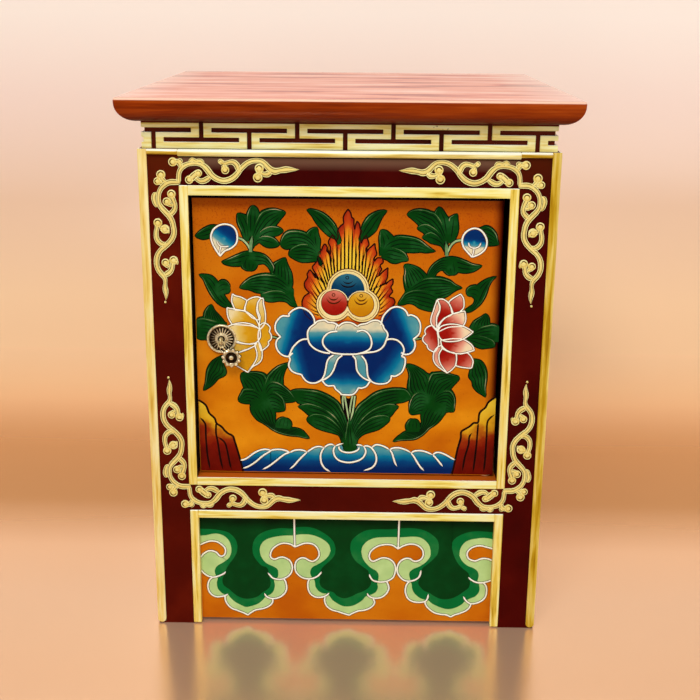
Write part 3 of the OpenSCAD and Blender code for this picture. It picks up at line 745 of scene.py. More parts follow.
# %% [markdown]
# ## One mesh from a heap
# Hundreds of small shells in one colour are one coat of paint, so they become one piece. A
# number on each point, the tone, says how light the painter mixed the colour there.


# %% Join a heap
def make(heap, material, body):
    """Joins a heap of shells into one piece that rides on a body of the cabinet."""
    parts = heaps.pop(heap)
    starts = np.cumsum([0] + [len(p[0]) for p in parts[:-1]])
    points = np.vstack([p[0] for p in parts])
    quads, fans = (np.vstack([p[k] + s for p, s in zip(parts, starts)]) for k in (1, 2))
    mesh = bpy.data.meshes.new(heap)
    mesh.from_pydata(points.tolist(), [], quads.tolist() + fans.tolist())
    tone = mesh.attributes.new("tone", "FLOAT", "POINT")
    tone.data.foreach_set("value", np.concatenate([p[3] for p in parts]).astype(np.float32))
    mesh.shade_smooth()
    mesh.set_sharp_from_angle(angle=np.radians(50))
    mesh.materials.append(material)
    piece = put(heap, mesh)
    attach(piece, body)
    print(heap, len(parts), "shells,", 2 * len(quads) + len(fans), "triangles")
    return piece


print("ready to join heaps")


# %% Paint mixed by tone
def tinted(name, *stops, roughness=0.42, uneven=0.10, metallic=0.0):
    """Paint mixed by tone, a little uneven as thin coats are."""
    m = finish(name, roughness, metallic)
    shift = spread(m, noise(m, (60, 60, 60), 4.0), 0.3, 0.7, -uneven, uneven)
    both = add(m, "Math", operation="ADD").node
    link(m, add(m, "Attribute", 2, attribute_name="tone"), both.inputs[0])
    link(m, shift, both.inputs[1])
    hairs = noise(m, (700, 700, 300), 2.0)
    return wire(m, ramp(m, both.outputs[0], *stops), hairs, 0.00008)


leaf_green = tinted("leaf_green", (0.0, "#010F06"), (0.25, "#022508"), (0.5, "#02420C"),
                    (0.75, "#2C7038"), (1.0, "#B4CF94"))
lotus_blue = tinted("lotus_blue", (0.0, "#012562"), (0.3, "#00447F"), (0.55, "#047CA0"),
                    (0.8, "#549EA6"), (1.0, "#EEE2B8"), uneven=0.05)
flower_red = tinted("flower_red", (0.0, "#9C0C06"), (0.22, "#B02A1A"), (0.5, "#D4705C"),
                    (0.75, "#EEAC90"), (1.0, "#F8E2B8"), uneven=0.06)
flower_yellow = tinted("flower_yellow", (0.0, "#C98206"), (0.5, "#DDA31A"), (0.8, "#E8C765"),
                       (1.0, "#F3E3B2"))
flame = tinted("flame_paint", (0.0, "#F8D03C"), (0.4, "#EA981C"), (0.7, "#CC4C12"),
               (1.0, "#9A200A"))
rock = tinted("rock_paint", (0.0, "#520401"), (0.32, "#7E1403"), (0.48, "#962E08"),
              (0.58, "#B8660E"), (0.70, "#E2AA1C"), (1.0, "#F6D038"))
line_white = tinted("line_white", (0.0, "#EEE4BC"), (0.5, "#FFFFEA"), (1.0, "#FFFFFA"),
                    uneven=0.2)
line_dark = tinted("line_dark", (0.0, "#0A0304"), (0.5, "#3A1006"), (1.0, "#7A3A08"))
print("tinted paints:", leaf_green.name, lotus_blue.name, "and six more")

# %% [markdown]
# ## Leaves
# Each leaf, and each lobe of a broken leaf, is the film between its two edges, both drawn
# from base to tip. The painter lined the leaves in near black and combed dark veins along
# them, so a vein is the line that keeps the same share of the width all the way. The dark
# edges of a whole spray go down first, so they show only round the spray's outside.

# %% Sprays of leaves
DOOR, VEIN_STEP = -0.188, 3.1
sprays = {
    "flame leaves": [
        ([(-8, 434), (-8, 438), (-11, 447), (-14, 454), (-20, 461), (-28, 466.5), (-38, 469.2),
          (-43, 468.5)],
         [(-11, 432), (-13, 438), (-20, 441.5), (-28, 449), (-33, 455), (-38, 463),
          (-43, 468.5)]),
        ([(10, 437), (12, 444), (13, 450), (15, 456), (20, 463), (28, 467.5), (34, 468.8),
          (39, 468.5)],
         [(12, 436), (15, 439), (20, 441), (27, 447), (30, 453), (34, 462), (39, 468.5)])],
    "bud leaves": [
        ([(-130, 451), (-134, 451.5), (-141, 451.5), (-150, 447), (-157.5, 440)],
         [(-134, 441), (-143, 438), (-150, 437), (-157.5, 440)]),
        ([(128, 450), (133, 451.5), (139, 454), (145, 452), (150, 446), (151.5, 440),
          (153.5, 434.5)],
         [(132, 437), (139, 434), (146, 433.5), (153.5, 434.5)])],
}
print("sprays behind the flame and the buds:", len(sprays))

# %% Sprays of the upper half
sprays.update({
    "upper left": [
        ([(-106, 435), (-110, 446), (-113.5, 455), (-113.5, 464.5)],
         [(-101, 435), (-99.5, 450), (-101, 457), (-103.5, 461.5), (-108, 463.5),
          (-113.5, 464.5)]),
        ([(-102, 440), (-104, 455), (-103.5, 463), (-101, 469), (-97.5, 473)],
         [(-97, 440), (-92, 452), (-91, 460), (-91.5, 466), (-93.5, 470), (-97.5, 473)]),
        ([(-101, 434), (-97, 449), (-94, 458), (-90, 465), (-84, 468.5), (-76, 469.5),
          (-68, 467.5), (-63.5, 465.5)],
         [(-97, 432), (-88, 440), (-80, 446), (-74, 452.5), (-69, 459), (-63.5, 465.5)]),
        ([(-99, 434), (-90, 446), (-82, 451), (-74, 451), (-70, 449.5), (-66, 446.5)],
         [(-97, 430), (-88, 437), (-80, 440), (-72, 442), (-66, 446.5)]),
        ([(-99, 430), (-92, 439), (-84, 441.5), (-76, 439), (-70, 432)],
         [(-99, 426), (-95, 433), (-91, 434), (-87, 431), (-82, 429), (-75, 429.5),
          (-70, 432)])],
    "upper right": [
        ([(100, 435), (99.5, 450), (101.5, 461), (104, 463.5), (110, 466.5)],
         [(107, 436), (110.5, 445), (111.5, 452), (110.5, 460), (110, 466.5)]),
        ([(97, 442), (92, 450), (88, 458), (87, 466.5), (88, 469), (91, 473.5)],
         [(102, 440), (102, 455), (101, 461.5), (99, 464), (95, 470), (91, 473.5)]),
        ([(102, 434), (97, 452), (92, 462), (87.5, 467), (84, 468), (78, 470), (70, 470.5),
          (63, 468.5), (58.5, 464.5)],
         [(98, 431), (88, 442), (78, 449), (72, 453), (68, 457), (62, 462), (58.5, 464.5)]),
        ([(101, 434), (92, 447), (82, 454.5), (74, 454.5), (69, 450.3)],
         [(98, 430), (88, 438), (79, 442), (78, 444.5), (74, 447.5), (69, 450.3)]),
        ([(100, 430), (92, 442), (84, 447), (78, 444.5), (74.5, 440.7)],
         [(99, 425), (95, 432), (90, 434), (84, 435.5), (80, 438), (74.5, 440.7)])],
    "left of centre": [
        ([(-32, 424), (-40, 430), (-43.5, 438), (-43, 444.5), (-38, 449), (-32, 451)],
         [(-29, 422), (-29.5, 430), (-29, 437), (-31, 444), (-32, 451)]),
        ([(-31, 426), (-36, 438), (-43, 444.5), (-50, 447), (-57, 447.5), (-62, 446.5),
          (-66, 443.5), (-69, 437), (-70, 431)],
         [(-31, 420), (-45, 428), (-58, 428.5), (-64, 427.5), (-70, 431)]),
        ([(-30, 424), (-38, 432), (-48, 434), (-58, 429), (-62, 421.3)],
         [(-30, 416), (-36, 414.8), (-43, 414), (-50, 414.5), (-57, 418), (-62, 421.3)])],
    "right of centre": [
        ([(32, 421), (31.5, 432), (31, 440), (32.5, 449)],
         [(38, 424), (44, 431), (46, 437), (45, 442), (42, 445), (38, 448), (32.5, 449)]),
        ([(34, 424), (38, 436), (46, 441.5), (52, 443), (60, 442.5), (68, 441), (74, 438),
          (80, 433), (86, 428.5), (89.5, 427)],
         [(34, 420), (50, 425), (60, 425.5), (68, 425.5), (74, 426), (79, 425.5), (84, 426),
          (89.5, 427)]),
        ([(34, 424), (42, 431), (50, 430), (57, 426), (60, 421), (61.5, 416.5)],
         [(33, 420), (36, 418.7), (40, 417), (44, 414.5), (49, 414), (55, 416),
          (61.5, 416.5)])],
})
print("sprays so far:", len(sprays))

# %% Sprays of the middle
sprays.update({
    "left middle": [
        ([(-72, 374), (-80, 385), (-81, 395), (-79.5, 403), (-78, 411.5), (-73, 415),
          (-68, 417.5), (-64.5, 419)],
         [(-55, 369), (-57, 378), (-59, 384), (-57.5, 392), (-58.5, 402), (-61, 408),
          (-63.5, 414), (-64.5, 419)]),
        ([(-56, 384), (-70, 399), (-81, 401.5), (-88, 401.5), (-95, 400), (-102, 397),
          (-108, 392), (-113, 386)],
         [(-56, 374), (-75, 376), (-88, 380), (-96, 381.5), (-102, 384), (-108, 385),
          (-113, 386)]),
        ([(-54, 371), (-66, 382), (-78, 384), (-91, 379.5)],
         [(-52, 366), (-59, 367.5), (-64, 371.5), (-71, 372.5), (-78, 371.5), (-84, 372),
          (-88, 374.5), (-91, 379.5)])],
    "right middle": [
        ([(66, 376), (60, 384), (58, 390), (57, 398), (58, 405), (57, 413)],
         [(84, 384), (84, 392), (81, 400.5), (78, 404.5), (72, 409.5), (64, 412.5),
          (57, 413)]),
        ([(58, 384), (72, 396), (81, 400), (90, 400.3), (97, 399.5), (105, 396.5),
          (110, 392.5), (118, 388.5)],
         [(56, 372), (75, 374), (93, 375.5), (97, 377), (103, 380), (108, 384), (113, 387),
          (118, 388.5)]),
        ([(96, 374), (88, 384), (72, 387), (60, 383), (55, 376.5), (51, 369.8)],
         [(94, 367), (88, 363.5), (82, 364), (74, 366.5), (68, 370.5), (62, 371.5), (57, 370),
          (51, 369.8)])],
    "left under leaf": [
        ([(-92, 422), (-98, 424.5), (-106, 424.5), (-115, 421), (-125, 416), (-131, 413.5)],
         [(-93, 410), (-104, 411), (-110, 409.5), (-118, 409), (-126, 410.5), (-131, 413.5)]),
        ([(-106, 420), (-110.5, 413), (-109, 407), (-102, 403.5)],
         [(-95, 420), (-93.5, 412), (-96, 406), (-102, 403.5)]),
        ([(-102, 424.5), (-90, 423), (-83, 419), (-78, 412), (-76.5, 407), (-78.5, 401)],
         [(-102, 411), (-92, 411.5), (-87, 412), (-83, 409), (-80.5, 405), (-79.5, 401)])],
    "right under leaf": [
        ([(95, 419), (104, 421.5), (112, 420.5), (120, 417.5), (128, 414), (137.5, 412.5)],
         [(95, 407), (106, 408), (113, 405.5), (120, 404.5), (128, 406), (133, 409),
          (137.5, 412.5)]),
        ([(95, 418), (97, 408), (101.5, 403), (106.5, 401.5)],
         [(111, 418), (112.5, 409), (111.5, 404), (106.5, 401.5)]),
        ([(106, 421.5), (97, 420), (90, 416), (85, 411), (82, 405), (81, 400)],
         [(104, 403), (99, 406.5), (95, 407.3), (91, 404.5), (88, 400), (82, 398)])],
})
print("sprays so far:", len(sprays))

# %% Sprays at the sides
sprays.update({
    "far left": [
        ([(-119.5, 364.5), (-128, 365), (-134, 368), (-139, 373), (-143, 379), (-146, 385),
          (-148, 390), (-150, 395), (-154.5, 400)],
         [(-119.5, 365.5), (-124, 371), (-129, 379), (-132, 386), (-135, 392), (-137, 395),
          (-141, 398.5), (-147, 400), (-154.5, 400)]),
        ([(-138, 388), (-133, 393), (-130, 394.5), (-126, 393.5), (-123, 389.5), (-122, 386)],
         [(-136, 376), (-129, 379), (-123.5, 381), (-122, 386)]),
        ([(-156, 346), (-151, 354.5), (-150, 359), (-147, 364), (-142, 368.5)],
         [(-126, 344), (-131, 352), (-135, 357), (-139, 361.5), (-142, 368.5)]),
        ([(-126, 348), (-142, 352), (-151, 354), (-156, 353), (-158.6, 350.5)],
         [(-134, 326), (-148, 329.5), (-153, 329.5), (-158.6, 331)]),
        ([(-131, 313), (-141, 307.5), (-146, 302), (-149, 295), (-150, 288), (-151, 281),
          (-153.5, 272.5)],
         [(-134, 312), (-131, 302), (-129, 297), (-128.5, 293), (-131, 289.5), (-137, 286.5),
          (-140, 283), (-145, 278), (-153.5, 272.5)])],
    "far right": [
        ([(120.5, 363), (126, 363), (131, 366), (137, 371.5), (141, 378), (143.5, 385),
          (145, 391), (148, 397), (152.5, 401.5)],
         [(120.5, 364.5), (125, 368), (129.5, 371.5), (131, 376), (131, 384), (133, 391.5),
          (139, 396.5), (145, 399.5), (152.5, 401.5)]),
        ([(138, 386), (133, 391.5), (128, 391.5), (124, 389.5), (122, 386), (123, 380)],
         [(135, 374), (130.5, 377.5), (127.5, 380), (123, 380)]),
        ([(126, 344), (130, 352), (134, 355.5), (139, 358.5), (143, 362)],
         [(150, 340), (147.5, 350), (146.5, 357), (143, 362)]),
        ([(126, 338), (138, 347), (147, 350), (151, 350.5), (157.5, 348)],
         [(122, 333), (132, 331), (142, 331), (150, 331), (157.5, 331)]),
        ([(122, 336), (138, 338), (150, 334), (153.5, 330), (153.8, 325.2)],
         [(121, 333.5), (131, 327.5), (135, 325), (140, 323.5), (146, 324), (153.8, 325.2)]),
        ([(130, 312), (139, 310.5), (144, 305), (146.5, 298), (147, 290), (146, 280),
          (146.8, 269)],
         [(130, 310), (129.5, 302), (128, 292.5), (131, 288), (132, 285.5), (133, 281),
          (137, 276), (143, 272), (146.8, 269)])],
})
print("sprays so far:", len(sprays))

# %% Sprays of the lower half
sprays.update({
    "lower left": [
        ([(-84, 262), (-82, 275), (-84, 284), (-87, 292), (-94, 294.5), (-103, 294.5),
          (-112.5, 293.5)],
         [(-92, 262), (-104, 268), (-109.5, 276), (-111, 280), (-113, 287), (-112.5, 293.5)]),
        ([(-88, 266), (-98, 275), (-109.5, 276), (-113, 271), (-115.5, 266), (-116.5, 261)],
         [(-88, 250), (-98, 256), (-104, 258.5), (-110, 259), (-116.5, 261)]),
        ([(-92, 262), (-90, 276), (-86, 289), (-83, 293), (-78, 298), (-72, 302),
          (-62, 305.5)],
         [(-80, 262), (-72, 270), (-68.5, 280), (-68.5, 288), (-67, 294), (-65, 299),
          (-62, 303)]),
        ([(-90, 268), (-84, 284), (-74, 284), (-66, 278), (-61, 273), (-54, 262.5)],
         [(-88, 256), (-80, 257), (-72, 260), (-66, 260.5), (-60, 261), (-54, 262.5)]),
        ([(-90, 266), (-80, 274), (-70, 268), (-67, 260), (-66.5, 251)],
         [(-88, 246), (-82, 249.5), (-74, 250), (-66.5, 251)]),
        ([(-102, 264), (-103.5, 253), (-101, 246), (-96, 240), (-90, 236.5), (-85, 233),
          (-80, 229), (-74, 226), (-68, 224), (-60, 222.5), (-52, 222), (-46, 220.5),
          (-40, 219.5)],
         [(-84, 264), (-77.5, 250), (-77, 243), (-77, 237), (-70, 233), (-60, 232),
          (-54, 231.5), (-48, 229), (-44, 224.5), (-40, 219.5)]),
        ([(-77, 232), (-76, 239), (-72, 243), (-66, 243.8)],
         [(-62, 230), (-59.5, 235), (-61, 240), (-66, 243.8)])],
    "lower right": [
        ([(80, 262), (70, 268), (64, 276), (64, 285), (65, 292), (63.5, 299), (60.5, 305)],
         [(92, 262), (91, 280), (86, 293.5), (84, 295), (79, 299), (72, 303), (66, 305),
          (60.5, 305)]),
        ([(84, 264), (83, 280), (87, 294.5), (92, 296.5), (99, 297), (106, 295.5),
          (113, 293.5), (118, 292.5)],
         [(92, 262), (102, 272), (108.5, 277.5), (112, 282), (115, 285.5), (117.5, 289),
          (118, 292.5)]),
        ([(88, 266), (100, 276), (108.5, 277.5), (113, 272), (114.5, 265), (114, 258),
          (113.8, 252)],
         [(88, 248), (98, 250), (104.5, 251.5), (108, 252.5), (113.8, 252)]),
        ([(88, 270), (78, 276), (70, 272), (66, 262), (66, 255), (66, 250)],
         [(88, 252), (82, 250.5), (76, 249.8), (70, 248.7), (66, 250)]),
        ([(105, 262), (104.5, 251.5), (102, 247), (98, 241), (93, 236.5), (88, 233),
          (84.5, 229), (80, 224.5), (73, 220.5), (65, 219.5), (57, 219), (49, 217)],
         [(86, 264), (79, 250), (79.5, 240), (78, 233), (72, 230), (63, 229.5), (57, 225.5),
          (52, 221), (49, 217)]),
        ([(64, 229), (62.5, 236), (66, 242.5), (70.5, 244.3)],
         [(77, 229), (78, 236), (75.5, 242), (70.5, 244.3)])],
    "foot": [
        ([(1, 212), (0, 235), (-3, 248), (-7, 257), (-10, 262), (-16, 267), (-24, 271.5),
          (-32, 274.5), (-40, 275.5), (-48, 276), (-57, 275), (-62, 272)],
         [(-2, 212), (-6, 228), (-18, 243), (-32, 253), (-45, 258), (-52, 260), (-56, 265),
          (-62, 272)]),
        ([(0, 212), (-4, 230), (-14, 246), (-28, 256), (-42, 260), (-53, 256.3)],
         [(-3, 212), (-8, 228), (-20, 240), (-32, 245.5), (-40, 246), (-47, 252),
          (-53, 256.3)]),
        ([(0, 212), (-5, 228), (-14, 240), (-24, 247), (-34, 248.5), (-39.5, 246.3),
          (-44, 241.5)],
         [(-3.5, 209), (-8, 222.5), (-13, 225.5), (-20, 227.5), (-27, 229.5), (-34, 232.5),
          (-40, 237), (-44, 241.5)]),
        ([(3, 212), (3, 232), (6, 246), (10, 256), (14, 261), (20, 266), (26, 271),
          (33, 275), (42, 277.5), (52, 278.5), (62, 277), (69, 267)],
         [(5, 212), (9, 228), (20, 242), (34, 253), (46, 259), (53, 261.5), (60, 263),
          (69, 267)]),
        ([(4, 212), (8, 230), (18, 246), (30, 256), (44, 261), (55, 257.8)],
         [(7, 212), (12, 228), (22, 239), (34, 244), (44.5, 245), (51, 253), (55, 257.8)]),
        ([(5, 212), (9, 228), (18, 240), (28, 246.5), (38, 248), (44, 246), (46, 242)],
         [(10, 209), (11, 218), (14, 222.5), (19, 226), (26, 228.5), (33, 231), (38, 234.5),
          (42, 238), (46, 242)]),
        ([(-3.5, 205.5), (-3, 214), (-1.5, 228), (1.5, 244)],
         [(10, 205.5), (9.5, 214), (6, 228), (3, 244)])],
})


print("sprays:", len(sprays), "with", sum(len(lobes) for lobes in sprays.values()), "lobes")


# %% Paint the leaves
def paint_spray(lobes, lift):
    """Dark edges under the whole spray, then the green films, then veins by share of width
    and a pale line along one edge of each lobe."""
    for edge_a, edge_b in lobes:
        for edge in (edge_a, edge_b):
            ridge("leaves", DOOR, smooth(edge), 2.2, lift, 0.02, flat_tone(0.0), (2, 2))
    for i, (edge_a, edge_b) in enumerate(lobes):
        here = lift + 0.04 + 0.015 * i
        a, b = band("leaves", DOOR, smooth(edge_a), smooth(edge_b), here, flat_tone(0.50))
        width = np.hypot(*(a - b).T).max()
        span = slice(len(a) // 8, -max(2, len(a) // 7))
        for share in np.linspace(0, 1, max(3, int(width / VEIN_STEP)))[1:-1]:
            vein = (a + (b - a) * share)[span]
            if len(vein) > 4:
                ridge("leaf_veins", DOOR, vein, 0.95, here + 0.004, 0.008, flat_tone(0.04),
                      (6, 9))
        pale = (a * 0.93 + b * 0.07)[len(a) // 3:-2]
        if len(pale) > 4:
            ridge("leaf_lights", DOOR, pale, 0.6, here + 0.005, 0.009, flat_tone(0.5), (8, 6))


for level, lobes in enumerate(sprays.values()):
    paint_spray(lobes, 0.06 + 0.02 * (level % 3))
leaf_light = tinted("leaf_light", (0.0, "#1C4A22"), (0.5, "#5E8650"), (1.0, "#C8B08C"),
                    uneven=0.5)
make("leaves", leaf_green, "door")
make("leaf_veins", leaf_green, "door")
make("leaf_lights", leaf_light, "door")

# %% [markdown]
# ## Petals
# A petal is a film of blended colour with a thick white line round it, squeezed out of a
# cone so that it stands up like cord. Under the white lies a slightly wider dark line, which
# shows as a thin shadow on both sides. The runs of an outline meet at its sharp notches, and
# the white line is drawn run by run, so the notches stay sharp.


# %% Petals
def white_line(face, line, lift, width=1.75, taper=(0, 0), dark=0.35):
    """A thick white line on its thin dark shadow."""
    ridge("line_shadows", face, line, width + 1.1, lift, 0.04, flat_tone(dark), taper)
    ridge("white_lines", face, line, width, lift + 0.05, 0.30, flat_tone(0.6), taper)


def dark_line(line, width, lift, height, tone, taper=(0, 0)):
    """A dark stroke on the door."""
    ridge("line_shadows", DOOR, line, width, lift, height, flat_tone(tone), taper)


def joined(runs):
    """The runs of an outline as one ring, without the points that they share."""
    return np.vstack([run[:-1] for run in runs])


def petal(heap, shape, lift, tone, centre=None, width=1.75, dark=0.35, hidden=None):
    """A blended film on the door inside a white line. A run that lies behind another petal
    is hidden and gets no line."""
    runs = runs_of(shape)
    film(heap, DOOR, joined(runs), lift, tone, centre)
    for k, run in enumerate(runs):
        if k != hidden:
            white_line(DOOR, run, lift + 0.02, width, dark=dark)


print("ready for petals")

# %% [markdown]
# ## The lotus
# The flower is built from the back forwards: two upper petals, the middle petal that hangs
# down, two lower petals with folded lips, the wide bowl and the small bowl in front of it.
# Each is navy in its depth and turns through teal to a pale rim; both bowls fade to cream at
# the top. The table gives for each petal its shape, its height off the board, the places
# and tones between which it is blended, its middle and the run that lies hidden.

# %% Lotus
upper_left = [
    [(-34.9, 347.7), (-34.9, 351.5), (-36.5, 356.2), (-40.3, 361.2), (-44.9, 364.2),
     (-50.3, 365.5), (-56.9, 363)],
    [(-61.9, 358.5), (-61.5, 356.2), (-68.5, 356.2), (-73, 352.3), (-75.8, 347), (-75.8, 340.8),
     (-73, 336.2)],
    [(-70.4, 333.5), (-73.8, 330.8), (-75.4, 326.2), (-74.6, 320.8), (-71.5, 315.8),
     (-67, 312.7), (-62.3, 312.3)],
    [(-58, 316), (-40, 325)]]
upper_right = [
    [(34, 348), (35, 351.5), (36.6, 357), (40.5, 362.3), (45, 366.2), (50.5, 367.7),
     (56.5, 366), (60.5, 362.5)],
    [(62.3, 358.3), (66, 359), (71.5, 356.2), (74.8, 351), (75.6, 344.5), (74, 338)],
    [(68.5, 332.8), (70, 330), (70.5, 325), (68.5, 320), (65, 316.8), (60.3, 315.8)],
    [(56, 318), (40, 325)]]
lower_left = [
    [(-42.6, 331.5), (-46.5, 331.2), (-51, 329.2), (-54.9, 325.4), (-58, 321.5), (-61.5, 313)],
    [(-60.4, 308.5), (-61.9, 304.6), (-61.9, 300.8), (-59.2, 296.2), (-54.2, 293.5)],
    [(-48.8, 292.3), (-47.2, 289.2), (-44.2, 285.4), (-39.5, 283), (-34.2, 283), (-29.5, 285)],
    [(-27.5, 286.8), (-24.5, 292.3), (-23, 299.2), (-21.8, 306.2), (-19.5, 310.8),
     (-14.9, 314.2), (-18, 320), (-30, 328)]]
lower_right = [
    [(40.5, 331.5), (42, 332.3), (46.6, 332.7), (52, 331.2), (56.6, 326.9), (59, 321)],
    [(58, 315.4), (56.6, 313.8), (60, 312), (60.4, 305.6), (58, 297.7), (54.3, 293.8),
     (49.7, 291.5)],
    [(45.8, 292.3), (46.2, 290), (44.3, 286.2), (40.5, 283.5), (34.3, 282.7), (28.9, 283.5)],
    [(24.7, 285.8), (22, 290), (20.8, 296.2), (20, 303.8), (18.2, 309.2), (15, 313),
     (13.5, 315), (20, 322), (30, 329)]]
hanging = [
    [(-27, 286), (-24, 282), (-21, 280), (-15, 280.2)],
    [(-14, 280), (-12.6, 276.5), (-7.5, 272), (-6.5, 270.5), (0, 270), (5.5, 270.5),
     (9.5, 274.2)],
    [(11.5, 278.2), (15, 277.8), (20, 280), (23.2, 284.6)],
    [(24.8, 285.8), (20, 300), (12, 314), (0, 316), (-12, 314), (-20, 300)]]
fold_left = [
    [(-5.7, 314.2), (-10.3, 310), (-12.6, 304.6), (-14.9, 297.7), (-18.8, 291.5),
     (-24.2, 287.3)],
    [(-27.5, 286), (-24.5, 292.3), (-23, 299.2), (-21.8, 306.2), (-19.5, 310.8)],
    [(-14.9, 314.4), (-10, 315)]]
fold_right = [
    [(5, 314.2), (8.2, 310), (8.9, 304.6), (9.7, 298.5), (12.8, 293), (18.2, 288.5)],
    [(24.8, 285.6), (21.5, 291), (20.6, 297), (20, 303.8), (18.2, 309.2)],
    [(14.5, 314), (9, 315)]]
bowl = [
    [(-41.8, 331.5), (-42.2, 337), (-41.5, 341), (-38.8, 345), (-34.9, 348), (-31.8, 351),
     (-27, 352.2), (-24, 352.3), (-20.3, 350), (-15.3, 349.6), (-11.5, 347.7)],
    [(-9.9, 345.8), (-5.7, 349.2), (-0.3, 350.3), (5, 349.2), (8.9, 346.5)],
    [(10.5, 346.2), (12.8, 348), (18.9, 349.2), (22.8, 351.2), (26.6, 352.7), (32, 352.3),
     (35.8, 348.5), (37.8, 343.8), (40.8, 340), (41.6, 336.2), (40.1, 331.5), (38.2, 326.2),
     (34.3, 321.5), (28.9, 318.8), (22, 317.7)],
    [(13.5, 316.5), (0, 316)],
    [(-18.8, 316.2), (-24.9, 317), (-31, 319), (-35.7, 321.8), (-39.9, 326.2)]]
small_bowl = [
    [(-11, 340.4), (-15.7, 340), (-20.3, 338.5), (-24.2, 335), (-26.3, 330.8), (-26, 326.2),
     (-23.4, 321.9), (-18.8, 318), (-13.4, 316.2), (-5.7, 315.4), (0.5, 315.4), (7.4, 315.5),
     (14.3, 316.9), (20.5, 319.6), (23.9, 323), (25, 327.7), (24.3, 332.3), (22.8, 336.2),
     (19.7, 340), (15, 341.9), (10.5, 340.8)], [(9.6, 341.2)]]
print("runs round the bowl:", len(bowl))

# %% Paint the lotus
fade = (0, 321), (0, 343.5)
lotus = [
    (upper_left, 0.14, ((-50, 340), (-67, 345), 0, 0.78), (-56, 338), 3),
    (upper_right, 0.14, ((52, 340), (67, 346), 0, 0.78), (55, 338), 3),
    (hanging, 0.18, ((0, 297), (0, 277), 0, 0.82), (0, 290), 3),
    (lower_left, 0.22, ((-43, 308), (-60, 304), 0, 0.84), (-40, 308), 3),
    (lower_right, 0.22, ((38, 312), (57, 298), 0, 0.86), (38, 309), 3),
    (fold_left, 0.26, ((-12, 312), (-22, 290), 0.84, 0.74), (-17.5, 302), 2),
    (fold_right, 0.26, ((10, 312), (18, 290), 0.84, 0.74), (15, 302), 2),
    (bowl, 0.30, fade, (0, 333), 3),
    (small_bowl, 0.34, fade, (0, 328), 1)]
for shape, lift, blend, middle, hidden in lotus:
    petal("lotus", shape, lift, between(*blend), middle, hidden=hidden)
for shape in ([(-12.5, 340.6), (-12.8, 343), (-11.5, 347.2)],
              [(8.9, 339.5), (11, 340.7), (14, 341.7)]):
    white_line(DOOR, smooth(shape), 0.34, 1.5, (2, 0))
print("lotus:", len(heaps["lotus"]), "films")

# %% [markdown]
# ## The flame behind the jewels
# A fan of yellow and orange rays stands behind the jewels and ends in red tongues. The whole
# flame is one film that grows from its middle, so its tone is simply how far out a ring is.
# Its outline is drawn run by run from notch to tip to notch, which keeps both sharp. The
# black rays keep their share along a line round the jewels and a line near the tips, and a
# thin yellow ray lies between each two of them.

# %% Flame
flame_edge = [
    [(-38, 352), (-44.2, 358), (-47.4, 366), (-47.8, 372), (-45.7, 377.4), (-41.8, 380.6)],
    [(-40.2, 381.6), (-44.5, 386.5), (-45.3, 392), (-42, 398)],
    [(-42.8, 401), (-39.8, 406)],
    [(-37, 403), (-35.2, 399.5)],
    [(-33.4, 397.4), (-33, 401), (-35.4, 404.8), (-37.2, 408.9), (-35, 412)],
    [(-31.5, 416.5), (-30.3, 413.4)],
    [(-28.8, 410.5), (-30, 417), (-31.1, 423), (-27.8, 427)],
    [(-26.8, 429.8), (-24.4, 433.5)],
    [(-21.7, 429.9), (-22.1, 425.9)],
    [(-18.7, 422.6), (-18.6, 430), (-20.7, 434.7), (-19.4, 438.8)],
    [(-16.5, 443.2), (-14.3, 439.6)],
    [(-12.4, 436), (-10.6, 441.2), (-11.4, 447), (-8.9, 451.5)],
    [(-5, 455), (-5.6, 461), (-3.7, 465.7)],
    [(-0.9, 469.6), (1.9, 465.8), (2.9, 461.5)],
    [(5.3, 459.8), (5.2, 454)],
    [(6.1, 448.8), (6.9, 453)],
    [(8.4, 457.3), (11, 454.2), (11.6, 450)],
    [(13.6, 447), (11.6, 442), (12.3, 438)],
    [(13, 434.5), (14.6, 438.5)],
    [(17.8, 443), (19.6, 438.3), (20.8, 432.8), (17.9, 429.2)],
    [(18, 424.6), (21, 429.2), (23.4, 431.2)],
    [(26.7, 434.6), (27.4, 429.7), (28.9, 423.3), (26, 419)],
    [(26.6, 415.6), (29.5, 419.3)],
    [(35, 419.4), (35.6, 414.5), (32.6, 411.7)],
    [(34.4, 407.3), (32.2, 404)],
    [(31.9, 400.6), (35.4, 405)],
    [(40.6, 409.2), (40.3, 399), (38.4, 394.8)],
    [(38.6, 391.5), (41.9, 395)],
    [(46, 397.6), (46.1, 392.4), (44.1, 388.7)],
    [(46.2, 384), (42.5, 378.6), (46.8, 376.7), (48.6, 372.4), (46.3, 367.9), (42.5, 358)],
    [(38, 352), (0, 349)]]
edge_runs = runs_of(flame_edge)


def heat(p):
    """Yellow in the middle of the flame, orange further out and red in the tongues."""
    return np.broadcast_to(np.array([0.0, 0.0, 0.10, 0.52, 1.0, 1.0])[:, None], p.shape[:2])


film("flames", DOOR, joined(edge_runs), 0.07, heat, (0, 374))
for run in edge_runs[:-1]:
    dark_line(run, 1.5, 0.08, 0.08, 0.2)
print("flame:", len(edge_runs), "runs")

# %% Rays
at_jewels = smooth([(-30, 355), (-33, 366), (-30.5, 376), (-22, 386), (-18, 397), (-9, 406),
                    (0, 407.5), (9, 406), (18, 397), (23, 386), (31, 376), (34, 366),
                    (31, 355)])
at_tips = smooth([(-42, 357), (-45.5, 368), (-42, 384), (-42, 396), (-36, 406), (-31.5, 417),
                  (-25, 430), (-17, 440), (-8, 449), (0, 461), (8, 450), (17, 438),
                  (26, 429), (33.5, 413), (38.5, 402), (44, 390), (43, 379), (46, 368),
                  (42, 357)])
marks, step = 205, 3
at_jewels, at_tips = counted(at_jewels, marks), counted(at_tips, marks)


